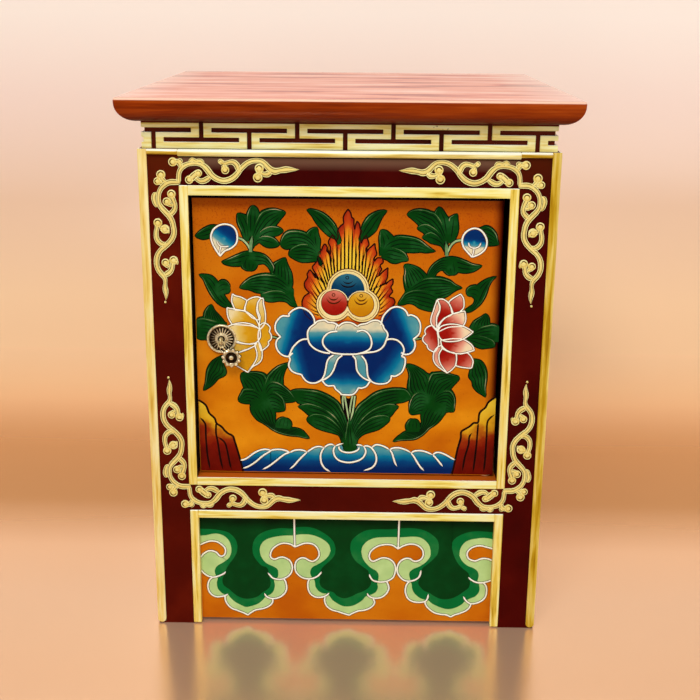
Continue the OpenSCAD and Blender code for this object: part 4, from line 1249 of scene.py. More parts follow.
def ray(i, start, stop):
    """The straight line at one mark, between two shares of the way from the line round the
    jewels to the line near the tips."""
    reach = at_tips[i] - at_jewels[i]
    return np.linspace(at_jewels[i] + start * reach, at_jewels[i] + stop * reach, 9)


rays = np.linspace(4, marks - 5, 35).astype(int)
for k, i in enumerate(rays):
    dark_line(ray(i, -0.02, (0.94, 0.78)[k % 2]), 1.6, 0.10, 0.05, 0.03, (0, 16))
for k, i in enumerate(rays[:-1]):
    ridge("flames", DOOR, ray(i + step, 0, (0.62, 0.80)[k % 2]), 0.95, 0.09, 0.10,
          flat_tone(0.0), (0, 18))
print("rays:", len(rays))

# %% [markdown]
# ## The three jewels
# Three round jewels, blue behind red and yellow, lie in one cream ring that follows all
# three. A jewel is a disc, light near its top and deep below, with a small knob and two
# crescents. The ring is a cream disc under each jewel. Its thin brown lines are circles,
# drawn only where they lie outside the other two rings.


# %% Jewels
def circle(middle, radius):
    """A closed ring of points round a middle."""
    turn = np.linspace(0, 2 * np.pi, 73)
    return np.array(middle, float) + radius * np.stack([np.sin(turn), np.cos(turn)], 1)


def outside(line, others):
    """The stretch of a closed line that lies outside all the other circles."""
    line = line[:-1]
    seen = np.all([np.hypot(*(line - np.array(c)).T) > r for c, r in others], axis=0)
    line = np.roll(line, -np.argmax(seen & ~np.roll(seen, 1)), 0)
    return line[:seen.sum()]


ring_places = [((-0.2, 385.6), 22.0), ((-14.8, 369.2), 18.4), ((14.6, 368.7), 18.2)]
for k, (middle, radius) in enumerate(ring_places):
    others = ring_places[:k] + ring_places[k + 1:]
    film("rings", DOOR, circle(middle, radius), 0.30 + 0.01 * k, flat_tone(0.62))
    for shrink, width, tone in ((0.0, 0.9, 0.75), (2.3, 0.55, 0.95)):
        kept = [(c, r - shrink) for c, r in others]
        dark_line(outside(circle(middle, radius - shrink), kept), width, 0.33, 0.05, tone)
print("rings:", len(ring_places))

# %% Paint the jewels
jewels = [
    ("blue_jewel", (-0.5, 385.2), 17.2, between((0, 375), (0, 402)), 0.0,
     (-1.1, 398.3), [[(-5.8, 395), (-3.5, 392.9), (-0.7, 392.2), (2.4, 392.8), (5, 395)],
                     [(-8.6, 392.6), (-5.5, 389.6), (-0.6, 388.2), (4.6, 389.4),
                      (8.3, 392.6)]]),
    ("red_flower", (-14.4, 371.2), 13.3, between((-14, 361), (-14, 385), 0.0, 0.56), 0.62,
     (-15.2, 379.7), [[(-20.4, 378), (-18.4, 375.3), (-15.2, 374.4), (-12, 375.2),
                       (-10, 377.8)],
                      [(-22.5, 376), (-19.8, 372), (-15.3, 370.5), (-10.6, 371.8),
                       (-6.6, 375.5)]]),
    ("yellow_flower", (13.4, 369.9), 13.3, between((13, 364), (13, 383), 0.05, 0.66), 0.70,
     (13.5, 379.2), [[(8.5, 377.5), (10.6, 374.7), (13.6, 373.7), (16.8, 374.7),
                      (19.4, 377.6)],
                     [(5.8, 375.5), (8.8, 371.4), (13, 369.9), (17.4, 371.2),
                      (20.7, 374.6)]])]
for heap, middle, radius, tone, ink, knob, crescents in jewels:
    in_front = heap != "blue_jewel"
    if in_front:
        film("rings", DOOR, circle(middle, radius + 1.3), 0.38, flat_tone(0.85))
        dark_line(circle(middle, radius + 0.1), 0.7, 0.41, 0.03, 0.9)
    film(heap, DOOR, circle(middle, radius), 0.35 + 0.07 * in_front, tone)
    lift = 0.36 + 0.075 * in_front
    dark_line(circle(knob, 1.5), 0.8, lift, 0.05, ink)
    for points in crescents:
        dark_line(smooth(points), 1.5, lift, 0.06, ink, (5, 5))
print("jewels:", len(jewels))

# %% [markdown]
# ## Side flowers and buds
# A yellow flower stands on the left and a red one on the right. Their petals run from deep
# colour at the heart to cream at the tips, and are listed from the back forwards, each with
# its middle and its two tones. Two blue buds hang above the flowers.

# %% Yellow petals
yellow_petals = [
    ([[(-120, 379.5), (-117, 377.5), (-111, 376)],
      [(-105, 372.5), (-107, 366), (-108, 362)],
      [(-117.5, 362), (-119.5, 367), (-121, 372)]], (-112, 369), 0.45, 0.90),
    ([[(-105, 372.5), (-101, 375), (-96, 376.5), (-91, 375.5)],
      [(-94, 370), (-95, 362), (-93, 352)],
      [(-100, 354), (-107.5, 362), (-106.5, 368)]], (-100, 365), 0.30, 0.72),
    ([[(-91, 375), (-88.3, 374.8)],
      [(-88, 369), (-86.5, 362), (-86, 356), (-86.5, 349), (-89, 344.5)],
      [(-92, 341.5), (-92.5, 348), (-91.7, 355), (-94, 362), (-93.8, 370)]], (-90, 358), 0.72,
     0.85),
    ([[(-126, 364.5), (-115, 362.5), (-106, 360.3), (-98, 354.5), (-94, 348.5)],
      [(-92, 342), (-100, 345), (-110, 346), (-120.5, 346.5)],
      [(-121, 346.5), (-124, 351.5), (-125.7, 357)]], (-111, 353), 0.30, 1.0),
    ([[(-92, 346), (-88, 348.5), (-84, 347), (-81.3, 343.5)],
      [(-82.3, 339), (-80.3, 335.5), (-80.5, 331)],
      [(-83.5, 328), (-83, 325), (-86.5, 321)],
      [(-91, 317.8), (-93, 325), (-94, 335)]], (-88, 334), 0.42, 0.60),
    ([[(-117, 327), (-111, 325.8), (-104, 325.3), (-97.5, 326.3), (-95.5, 327)],
      [(-97.3, 323.5), (-104, 320.2), (-110, 318), (-120, 314)],
      [(-128, 318), (-124, 326)]], (-110, 322), 0.38, 0.75),
    ([[(-97.5, 323.5), (-95.6, 316), (-96, 309.5), (-99, 303.5)],
      [(-105.5, 294), (-112, 298), (-120, 304), (-121, 314)],
      [(-113, 316.5), (-105, 319.5)]], (-106, 309), 0.26, 0.36),
    ([[(-97, 326.5), (-94, 328), (-91, 322), (-90, 315), (-91, 308), (-95, 303.5),
       (-100, 300.5)],
      [(-105.5, 294), (-99, 303.5), (-96, 309.5), (-95.6, 316), (-97.5, 323)]], (-93.7, 314),
     0.70, 0.85),
    ([[(-92, 341.5), (-95.5, 344), (-101, 347), (-108, 348.4), (-114, 348), (-121, 346.3)],
      [(-126, 344), (-128, 332), (-117, 328.3), (-111, 326.3), (-104, 325.3), (-98, 326),
       (-94, 329), (-91.6, 334)]], (-107, 337), 0.28, 0.95),
]
print("yellow petals:", len(yellow_petals))

# %% Red petals
red_petals = [
    ([[(116, 382), (110, 378.5), (105.5, 375)],
      [(104, 372.5), (106.5, 368), (108.5, 361)],
      [(115.5, 362.5), (119.5, 367), (120, 372), (119, 378)]], (112, 370), 0.15, 0.72),
    ([[(92.5, 376), (97, 376.6), (101, 375)],
      [(104.5, 371.8), (107.3, 366), (108.3, 360.5)],
      [(100, 356), (95, 350), (93, 346), (92, 357), (95, 366)]], (99, 366), 0.0, 0.68),
    ([[(92.3, 376), (90.5, 371), (88.6, 364), (86.7, 358), (86.2, 352), (88, 347.5)],
      [(93.5, 341.5), (92.3, 349), (92.2, 356), (94.8, 363), (95.2, 369), (93.5, 373)]],
     (91, 358), 0.70, 0.85),
    ([[(121, 364), (115, 362.6), (109, 360.8), (102, 357), (97.5, 352.5), (94.8, 347)],
      [(94, 341), (104, 346), (112, 347), (120, 347.5)],
      [(120.3, 348.5), (122.2, 353), (122.2, 359)]], (108, 353), 0.15, 1.0),
    ([[(93, 343), (91, 345), (88, 347.8), (84, 347), (80.8, 344), (80.3, 341)],
      [(81.3, 338.5), (78.7, 335.5), (78.4, 331.5), (81, 328.3)],
      [(82.8, 326.8), (84, 323), (87, 320.6), (91.5, 319.5), (95, 328)]], (87, 334), 0.05,
     0.70),
    ([[(97, 332), (98, 327), (101, 323), (106, 319.8), (112, 317.8), (118, 317.5),
       (124, 318.7)],
      [(132.5, 321.3), (131, 325.5), (127, 329.7), (120, 333.3)],
      [(110, 334)]], (113, 326), 0.05, 1.0),
    ([[(97.5, 326.5), (93, 323.5), (90.3, 318), (90, 311), (92.5, 305.5), (97, 301.5)],
      [(105, 296), (98.5, 304.5), (96, 311), (96, 317.5), (98.7, 323)]], (93.7, 313), 0.62,
     0.78),
    ([[(99, 323), (96, 317.5), (96, 311), (98.5, 304.5)],
      [(105, 296), (110, 300), (113.6, 305)],
      [(114.3, 311), (113.3, 317.5), (106, 319.5)]], (105, 311), 0.0, 0.66),
    ([[(113.5, 317.8), (119, 317.4), (125, 318.6)],
      [(129, 315.3), (131.6, 310), (131.2, 305), (129.7, 301.8)],
      [(122, 302.3), (117, 303.2), (113.7, 305), (114.4, 311)]], (122, 310), 0.05, 0.66),
    ([[(94, 341), (95, 344.6), (98, 347.6), (104, 349.4), (111, 349.7), (118, 348.2),
       (124, 345.7)],
      [(130.6, 341.5), (126, 337.5), (121, 334), (117, 332), (111, 330.9), (104, 330.8),
       (99, 332), (95.5, 335.5)]], (110, 340), 0.02, 1.0),
]


print("red petals:", len(red_petals))


# %% Paint the side flowers
def side_flower(heap, petals, heart, reach=11):
    """Petals from the back forwards; each goes from its deep tone near the heart to its pale
    tone a little beyond its own middle."""
    for k, (shape, middle, deep, pale) in enumerate(petals):
        way = np.array(middle, float) - heart
        way /= np.hypot(*way)
        tone = between(middle - 0.55 * reach * way, middle + reach * way, deep, pale)
        petal(heap, shape, 0.14 + 0.03 * k, tone, middle, 1.35, 0.7)


side_flower("yellow_flower", yellow_petals, (-90.0, 338))
side_flower("red_flower", red_petals, (92.0, 338))
print("films:", len(heaps["yellow_flower"]), "yellow and", len(heaps["red_flower"]), "red")

# %% Buds
left_bud = [[(-131.8, 419.5), (-136, 426), (-139.5, 433), (-140.7, 440), (-138, 447),
             (-133, 451), (-127, 452.7), (-120, 451.5), (-115.3, 447), (-113.7, 440),
             (-115, 433), (-120, 428), (-127, 424.7)], [(-131.7, 419.6)]]
right_bud = [[(126.3, 421.3), (122, 426), (117.7, 431), (115.7, 437.5), (117, 444),
              (121.5, 449), (128, 451.2), (134, 449.3), (138.3, 444.5), (140.9, 438),
              (140, 431), (136, 426), (131, 423)], [(126.4, 421.4)]]
for shape, blend, middle in (
        (left_bud, ((-121, 442), (-130, 430), 0.12, 1.0), (-127, 438)),
        (right_bud, ((128, 440), (127.5, 431), 0.08, 1.0), (128, 437))):
    petal("lotus", shape, 0.14, between(*blend), middle, dark=0.7)
for points in ([(-134.5, 435), (-133, 431.5), (-130.5, 429.5), (-126, 429.2), (-122.5, 430)],
               [(-130.5, 429.5), (-131.8, 425.5), (-132, 421)],
               [(122.3, 436.5), (123.5, 432.5), (128, 430.6), (132.8, 432.2), (135, 436.3)],
               [(128, 430.6), (127.6, 426), (126.5, 422)]):
    white_line(DOOR, smooth(points), 0.2, 1.3, (1, 1), 0.8)
print("blue films with the buds:", len(heaps["lotus"]))

# %% [markdown]
# ## Stems
# Pale green stalks carry the lotus, the side flowers and the buds. Each is a short tapering
# ridge over a dark one.

# %% Stems
stems = [
    ([(-114, 439), (-108, 436.5), (-103, 431), (-101, 425)], 2.0, 0.9),
    ([(-100.5, 424), (-100, 432), (-98.5, 441)], 3.2, 0.8),
    ([(115.5, 439), (109, 437.5), (104, 432.5), (101, 424)], 2.0, 0.9),
    ([(100.5, 422), (100, 430), (99, 438)], 3.2, 0.8),
    ([(-80.5, 333.8), (-75, 332.6), (-70.5, 331)], 1.8, 0.85),
    ([(69.5, 332.6), (74, 333.4), (78.5, 333.8)], 1.8, 0.85),
    ([(-28, 410.5), (-29.5, 416), (-32, 421)], 3.0, 0.3),
    ([(-4.8, 269), (-5, 262), (-4, 253)], 1.7, 1.0),
    ([(-2.8, 268.5), (-1.5, 260), (0.3, 250), (1.5, 241)], 1.7, 1.0),
    ([(5.3, 269), (4, 262), (3, 255), (2.8, 247)], 1.6, 1.0),
    ([(7.8, 269), (7, 260), (5.8, 251), (3.4, 241)], 1.8, 1.0)]
between_stalks = [(-7.4, 270), (-6.5, 258), (-3, 248), (2, 239), (6, 248), (8.6, 258),
                  (9.4, 270), (1, 266)]
film("line_shadows", DOOR, smooth(between_stalks, closed=True), 0.18, flat_tone(0.0))
for points, width, tone in stems:
    line = smooth(points)
    dark_line(line, width + 1.8, 0.19, 0.03, 0.0, (1, 3))
    ridge("stems", DOOR, line, width, 0.23, 0.12, flat_tone(tone), (0, 6))
print("stems:", len(stems))

# %% [markdown]
# ## Water and rocks
# At the foot the sea fills the door from side to side: teal at the crests and navy below,
# with white curling lines. Stepped rocks stand at both ends, ochre on top and dark red
# below, split by black cracks.

# %% Water
SEA_BED = 180.6
crests = [
    [(-115.5, 193.3), (-112, 194), (-108, 196), (-103, 200), (-97, 204), (-91, 206.2),
     (-86, 206.3), (-81.5, 205.3)],
    [(-83, 205), (-79, 206.2), (-73, 206.6), (-67, 205.6), (-61.5, 203.3)],
    [(-61.5, 203.3), (-57, 205.6), (-51, 206.4), (-46, 205.4), (-43, 204)],
    [(-43, 204), (-39, 207), (-35, 209.5), (-30, 210.5), (-24.5, 209.3)],
    [(-24.5, 209.3), (-21, 212.3), (-17, 213.2), (-13, 212)],
    [(-12.5, 211.5), (-9, 213), (-4, 214.7)],
    [(9.8, 213), (14, 212.9), (17.5, 211.5)],
    [(17.5, 211.3), (21, 212), (25, 210.7), (28.5, 207), (31.2, 201.5), (31.8, 195.5),
     (30, 190), (26, 186), (18.3, 183.2)],
    [(26.3, 210), (30, 213), (34, 213.4), (40, 211.5), (46, 208)],
    [(46, 208), (50, 210), (56, 210.2), (62, 208.5), (66, 206.6), (69, 204.6)],
    [(69, 204.6), (73, 206.8), (79, 207.2), (85, 206), (92.5, 202.7)],
    [(92.5, 202.7), (96, 205.3), (101, 205.2), (107, 202.6), (113, 199), (117.3, 196.8)],
    [(-81.5, 205.3), (-86, 202.5), (-92, 198), (-98, 192.5), (-104, 188), (-109, 185.2),
     (-113, 184)],
    [(-61.5, 203.3), (-66, 201.8), (-71, 198.3), (-77, 193), (-83, 188), (-88, 184.7),
     (-91.5, 183)],
    [(-43, 204), (-48, 199), (-53, 193.3), (-58, 187.3), (-62, 184)],
    [(-24.5, 209.3), (-27, 205.5), (-28.5, 200), (-28, 193), (-26, 188), (-22.5, 184),
     (-18, 181.4)],
    [(-12.7, 211.7), (-14.5, 207.5), (-14.3, 203), (-12, 197.8), (-7, 194), (2, 192.4),
     (11, 194.3), (17, 198), (20, 203.8), (19.6, 208.5), (17.5, 211.3)],
    [(-8.8, 211.5), (-8.3, 208), (-4.5, 205), (2.5, 203.9), (9, 205.5), (12.5, 208.3),
     (13, 211.5)],
    [(46, 208), (48.5, 204), (50.5, 197.5), (52.3, 192), (54.3, 188.8)],
    [(69, 204.6), (72, 200.5), (76, 193.7), (80, 187.7), (83.7, 184)],
    [(92.5, 202.7), (96, 199), (100, 194), (103.7, 189.2)]]
skyline = even(np.vstack([smooth(c) for c in crests[:6]] + [[(3, 210)]]
                         + [smooth(crests[6]), smooth(crests[7][:3]), smooth(crests[8])]
                         + [smooth(c) for c in crests[9:12]]), 1.2)
bed = np.stack([skyline[:, 0], np.full(len(skyline), SEA_BED)], 1)
band("water", DOOR, skyline, bed, 0.10, between((0, 186), (0, 207), 0.0, 0.80), rows=14)
for k, points in enumerate(crests):
    white_line(DOOR, smooth(points), 0.16 if k < 12 else 0.2, 1.9, (1.5, 3), 0.1)
print("crests and curls:", len(crests))

# %% Rocks
left_rock = [(-158.6, 262), (-154, 259), (-151, 256), (-149, 251), (-147.5, 247),
             (-142, 241.5), (-140.3, 236), (-135, 232), (-131, 227), (-127.5, 224),
             (-123, 221.5), (-121, 215), (-118, 204), (-115.5, 194), (-112.5, 180.6)]
right_rock = [(157.6, 270), (150, 264), (147, 258), (141, 251.5), (139.8, 241), (135, 240),
              (131, 236), (124, 231.5), (122, 229), (121.8, 222), (119, 210), (117, 198),
              (115, 186), (113.5, 180.6)]
cracks = [
    [(-158, 242.5), (-154, 238), (-152, 233), (-152, 220), (-151, 200), (-148.5, 182)],
    [(-140.5, 238), (-141, 225), (-139.5, 215), (-137, 195), (-134.5, 182)],
    [(-139.5, 220), (-136, 218), (-131.5, 213), (-129.5, 205), (-127, 190), (-125, 182)],
    [(157, 250), (152, 245.5), (149.5, 240), (149.5, 225), (149, 200), (148, 183)],
    [(140, 241), (139.5, 228), (139, 215), (138, 200), (136.5, 183)],
    [(134, 229), (131, 224), (130.5, 215), (127, 200), (125, 184)]]


def stone(side, slope):
    """Ochre above a sloping line and dark red below it, blended over about 15 mm."""
    middle, turned = np.array([side * 0.87, 226.0]), np.array([-slope, 1.0])
    return lambda p: np.clip(0.54 + ((p - middle) @ turned) / 70, 0.18, 0.95)


for side, edge, slope in ((-158.6, left_rock, -0.30), (157.6, right_rock, 0.30)):
    line = even(np.array(edge, float), 2.0)
    heights = np.linspace(edge[0][1], SEA_BED, len(line))
    frame_side = np.stack([np.full(len(line), side), heights], 1)
    band("rocks", DOOR, line, frame_side, 0.24, stone(side, slope), rows=16)
    dark_line(smooth(edge), 2.2, 0.26, 0.06, 0.12)
for points in cracks:
    dark_line(smooth(points), 2.0, 0.26, 0.06, 0.10, (4, 6))
print("cracks in the rocks:", len(cracks))

# %% Join the picture
ring_cream = tinted("ring_cream", (0.0, "#C89A3C"), (0.4, "#F2D67C"), (1.0, "#FFF6C0"),
                    uneven=0.15)
jewel_blue = tinted("jewel_blue", (0.0, "#011A4A"), (0.5, "#053E60"), (1.0, "#2C7088"))
for heap, paint, slot in (("blue_jewel", jewel_blue, "blue_paint"),
                          ("lotus", lotus_blue, "blue_paint"),
                          ("water", lotus_blue, "blue_paint"),
                          ("flames", flame, "red_paint"),
                          ("red_flower", flower_red, "red_paint"),
                          ("yellow_flower", flower_yellow, "yellow_paint"),
                          ("rings", ring_cream, "yellow_paint"),
                          ("stems", leaf_green, "green_paint"),
                          ("rocks", rock, "maroon_paint"),
                          ("line_shadows", line_dark, "maroon_paint"),
                          ("white_lines", line_white, "white_line_paint")):
    make(heap, paint, "door")

# %% [markdown]
# ## The cloud apron
# Three hanging clouds are painted on the apron, each in three greens from pale at its edge
# to nearly black under the rail, with white lines. Between them sit orange cloud heads.
# Every green is one closed film per cloud, plus one band above the heads, so a darker green
# simply lies on the lighter one. A white line may run on past the cloud's edge as a hook:
# each piece of edge is written as the hook before it, the edge itself and the hook after.

# %% Pale edges of the clouds
APRON = -0.193
RAIL_EDGE = 129.9
cloud_middles = [(-112, 58), (2, 58), (115, 58)]
white_edges = [
    [([], [(-134.4, 91.4), (-133.3, 87.6), (-134.4, 82.6), (-137.8, 80.3), (-140.6, 81.4),
           (-143.3, 84.8), (-146.7, 86.4), (-150, 87), (-153.9, 85.9), (-157.8, 83.1),
           (-160.8, 79.2)], []),
     ([], [(-160.8, 62.6), (-158.3, 59.2), (-153.9, 55.9), (-148.3, 54.2)],
      [(-143.3, 55.3), (-138.3, 57.6), (-135, 59.8), (-133.7, 61.7)]),
     ([], [(-148.3, 54.2), (-151.7, 51.4), (-153.6, 47), (-154.1, 42), (-152.8, 36.4),
           (-149.4, 32), (-144.4, 29.8), (-140, 30.3), (-135.6, 31.4)], [(-131.7, 33.7)]),
     ([], [(-135.2, 30.9), (-135, 26.4), (-132.8, 20.9), (-128.3, 15.9), (-121.7, 13.1),
           (-115, 10.3), (-110, 7.6)], []),
     ([], [(-110, 7.6), (-106.1, 10.9), (-100.6, 14.2), (-92.8, 15.9), (-86.1, 19.2),
           (-82.2, 23.7), (-81.9, 28.1)], []),
     ([(-91.1, 35.3), (-88.9, 31.4), (-85, 29.2)],
      [(-80.6, 28.7), (-75.6, 29.8), (-70.6, 33.1), (-67.2, 37.6), (-66.1, 43.1),
       (-67.2, 49.8), (-69.2, 54)], []),
     ([(-86.9, 60.9), (-84.4, 57.6), (-81.1, 54.2), (-76.1, 52.9)],
      [(-70.6, 53.3), (-65, 56.4), (-61.1, 60.9), (-59.7, 66.4), (-60, 70.9), (-62.2, 75.9),
       (-66.1, 78.9), (-70.6, 80.3), (-74.4, 79.6), (-78.9, 77.6), (-82.2, 78.7),
       (-83.9, 81.4), (-83.3, 85.9)], [])],
    [([], [(-30, 87.6), (-30, 82.6), (-32.8, 78.1), (-37.2, 75.7), (-41.1, 76.8),
           (-45, 79.2), (-49.4, 79.8), (-53.9, 77), (-56.1, 73.1), (-56.7, 67.6),
           (-55.6, 62.6), (-52.8, 58.7), (-48.3, 55.3), (-42.8, 54)],
      [(-37.2, 54.6), (-32.2, 57), (-28.9, 60.3), (-27.2, 63.4)]),
     ([], [(-40.6, 54), (-42.2, 49.8), (-42.4, 44.2), (-41.1, 38.1), (-37.8, 33.7),
           (-32.8, 31.2), (-27.2, 31.4), (-23.5, 32.6)], [(-21, 34.2), (-18.6, 37)]),
     ([], [(-23.3, 31.4), (-23.7, 27), (-21.7, 20.9), (-16.1, 15.9), (-9.4, 13.7),
           (-2.8, 11.4), (3.9, 9.2)], []),
     ([], [(3.9, 9.2), (8.3, 12), (14.4, 14.8), (21.1, 15.9), (27.2, 18.7), (31.1, 22.6),
           (32.2, 26.4), (30.6, 30.3)], []),
     ([(23.7, 37.3), (25.6, 33.7)],
      [(30, 31.4), (35.6, 31.1), (41.1, 33.1), (45.6, 37.6), (47.8, 43.1), (47.2, 47.6),
       (45.6, 51.8)], []),
     ([(25.9, 60.9), (27.2, 57), (30.6, 53.1), (36.7, 51.4), (42.8, 51.8)],
      [(48.9, 54.2), (52.8, 58.1), (54.4, 63.7), (54.7, 69.8), (52.8, 75.3), (48.9, 79.2),
       (43.9, 81.1), (38.9, 80.9), (34.4, 78.7), (30, 76.8), (26.7, 78.7), (25.3, 83.1)],
      [])],
    [([], [(85.3, 85.3), (83.3, 80.9), (78.9, 77.9), (74.4, 77.9), (71.1, 80.3),
           (67.2, 81.1), (62.2, 79.2), (58.3, 74.8), (56.7, 68.7), (57.2, 63.1), (60, 58.1),
           (64.4, 54.2), (70, 52.9)],
      [(75.6, 54.2), (80, 57), (82.2, 60.9), (83.1, 66.7)]),
     ([], [(71.1, 53.1), (67.8, 49.2), (66.3, 43.1), (66.7, 37.6), (69.4, 31.4),
           (74.4, 27.8), (81.1, 26.7), (87.8, 27.6)], [(91.1, 31.4), (92, 37.3)]),
     ([], [(88.3, 27.6), (90, 22.6), (94.4, 17.6), (100, 13.7), (106.7, 12), (112.8, 11.4),
           (117.8, 8.9)], []),
     ([], [(117.8, 8.9), (121.7, 11.4), (127.8, 13.7), (134.4, 17), (138.3, 20.9),
           (139.8, 25.3)], []),
     ([(131.1, 35), (133.3, 30.9), (137.2, 27)],
      [(142.2, 25.9), (148.9, 28.1), (153.9, 32), (156.1, 36.4), (156.7, 43.1),
       (155.6, 48.7), (153.1, 51.8)], []),
     ([(135.8, 59), (138.9, 55.9), (144.4, 52.9), (150, 52.2)],
      [(154.4, 52.9), (160.8, 55.3)], []),
     ([], [(160.8, 80), (156.7, 81.8), (152.2, 82.3), (147.8, 81.4), (143.3, 79.2),
           (138.9, 79.8), (135, 82), (133.3, 85.9)], [])]]
white_tops = [
    [(-161, 94.2), (-156, 96.7), (-150, 98.7), (-143.3, 98.3), (-138.3, 95.3),
     (-134.4, 91.4)],
    [(-83.3, 85.9), (-81.1, 90.3), (-76.1, 94.8), (-70.6, 97.2), (-65, 97.2), (-60.6, 95.9),
     (-56.7, 93.1)],
    [(-56.7, 93.1), (-52.8, 94.8), (-47.2, 97.3), (-41.7, 97.8), (-36.1, 96.4),
     (-32.2, 92.6), (-30, 87.6)],
    [(25.3, 83.1), (26.7, 88.1), (30.6, 92.6), (36.7, 96.2), (44.4, 97.6), (51.1, 96.7),
     (57.2, 92.6)],
    [(57.2, 92.6), (62.2, 95.9), (68.9, 98.3), (75.6, 98.1), (81.1, 95.3), (84.4, 90.9),
     (85.3, 85.3)],
    [(133.3, 85.9), (133.9, 90.3), (137.8, 94.8), (143.3, 97.3), (148.9, 97.6),
     (154.4, 96.2), (160.8, 94.4)]]
print("clouds:", len(cloud_middles))

# %% Middle green
mid_edges = [
    [(-126.9, 90.9), (-127.4, 84.2), (-130.6, 77.6), (-136.7, 72.6), (-142.8, 68.7),
     (-145.6, 64.2), (-145.9, 59.8), (-144.4, 55.9), (-142.8, 53.1), (-144.1, 47.6),
     (-143.3, 40.9), (-139.4, 35.3), (-135.6, 33.1), (-131.7, 32.6), (-129.4, 29.2),
     (-123.9, 23.7), (-117.2, 19.8), (-111.7, 17.6), (-105, 19.2), (-98.3, 22),
     (-92.8, 27), (-89.4, 31.4), (-83.9, 34.2), (-80.6, 38.7), (-79.2, 45.3), (-80, 52),
     (-76.1, 55.3), (-75.2, 59.8), (-76.1, 65.3), (-80.6, 68.7), (-87.2, 72),
     (-91.7, 76.4), (-94.4, 82), (-95.6, 88.7)],
    [(-17.2, 89.2), (-19.4, 83.1), (-23.9, 77.6), (-30.6, 72.6), (-37.2, 68.7),
     (-39.7, 63.1), (-38.9, 57.6), (-35.6, 53.7), (-34.4, 48.7), (-33.9, 44.2),
     (-30.6, 39.2), (-26.1, 36.4), (-20.6, 35.6), (-18.3, 33.1), (-15, 28.1),
     (-8.3, 23.1), (-1.7, 20.3), (6.7, 20.9), (13.3, 24.2), (18.9, 28.7), (22.2, 33.1),
     (27.8, 35.3), (33.3, 38.7), (35.6, 44.2), (35, 49.8), (36.1, 55.3), (36.1, 60.9),
     (33.3, 65.3), (27.8, 68.7), (22.2, 74.2), (18.3, 80.9), (16.7, 88.7)],
    [(93.1, 90.9), (92.8, 84.2), (88.9, 77.6), (82.2, 72), (74.4, 68.1), (70.6, 64.2),
     (70.2, 59.8), (71.7, 54.2), (73.3, 47.6), (73.9, 43.1), (76.7, 37.6), (82.2, 32.6),
     (87.8, 30.3), (91.7, 29.8), (96.7, 25.3), (105.6, 20.9), (114.4, 18.7),
     (123.3, 20.9), (130, 25.3), (133.3, 29.2), (138.9, 32.6), (144.4, 35.3),
     (148.3, 40.9), (148.7, 46.4), (147.8, 50.9), (146.1, 54.2), (147.2, 60.9),
     (145.6, 66.4), (141.1, 70.3), (134.4, 73.1), (128.3, 78.7), (125, 85.3)]]
mid_tops = [
    [(-161, 105.3), (-153.9, 105.9), (-147.2, 107.6), (-140.6, 107.6), (-133.9, 104.8),
     (-128.9, 98.7), (-126.9, 90.9)],
    [(-95.6, 88.7), (-94.4, 94.2), (-90.6, 99.8), (-85, 103.1), (-77.2, 105.3),
     (-68.3, 106.7), (-58.3, 107), (-50.6, 108.4), (-40.6, 108.4), (-31.7, 105.9),
     (-23.9, 101.4), (-18.9, 95.9), (-17.2, 89.2)],
    [(16.7, 88.7), (18.3, 95.3), (23.3, 101.4), (31.1, 105.3), (41.1, 106.4),
     (52.2, 106.7), (62.2, 106.7), (72.2, 107.6), (80, 107), (86.1, 103.7), (91.1, 97.6),
     (93.1, 90.9)],
    [(125, 85.3), (125.6, 93.1), (128.9, 99.8), (134.4, 104.2), (142.2, 106.2),
     (151.1, 107.3), (160.8, 105.9)]]
print("edges in the middle green:", len(mid_edges) + len(mid_tops))

# %% Dark green
dark_edges = [
    [(-120, 93.1), (-121.1, 85.3), (-125, 77.6), (-129.4, 71.4), (-132.8, 65.3),
     (-136.7, 55.3), (-137.8, 49.8), (-136.1, 44.2), (-130.6, 39.8), (-126.1, 35.3),
     (-120.6, 30.9), (-112.8, 28.1), (-105, 28.7), (-98.3, 31.4), (-92.8, 36.4),
     (-89.4, 38.7), (-85, 43.1), (-83.9, 48.7), (-85, 54.2), (-87.2, 66.4),
     (-93.9, 69.8), (-99.4, 76.4), (-102.8, 83.1), (-103.7, 90.9)],
    [(-11.7, 92), (-12.8, 84.2), (-17.2, 77.6), (-23.9, 70.9), (-27.8, 65.3),
     (-28.9, 54.2), (-29.4, 49.8), (-27.2, 44.2), (-20.6, 39.8), (-13.9, 37.6),
     (-9.4, 33.1), (-1.7, 30.3), (6.7, 33.1), (12.2, 36.4), (17.8, 38.7), (24.4, 43.1),
     (27.8, 48.7), (27.8, 54.2), (25.6, 59.8), (24.4, 65.3), (18.9, 69.8), (11.1, 76.4),
     (6.7, 83.1), (4.4, 90.9)],
    [(102, 94.2), (100.6, 86.4), (95.6, 79.8), (88.9, 73.1), (84.4, 68.7), (81.1, 55.3),
     (80.6, 49.8), (83.3, 45.3), (87.8, 40.9), (93.3, 38.7), (97.8, 35.3), (104.4, 32),
     (111.1, 30.9), (118.9, 32.6), (125.6, 36.4), (131.1, 40.9), (136.1, 45.3),
     (137.8, 50.9), (136.7, 60.9), (134.4, 65.3), (128.9, 69.8), (123.3, 76.4),
     (118.9, 85.3), (116.4, 94.2)]]
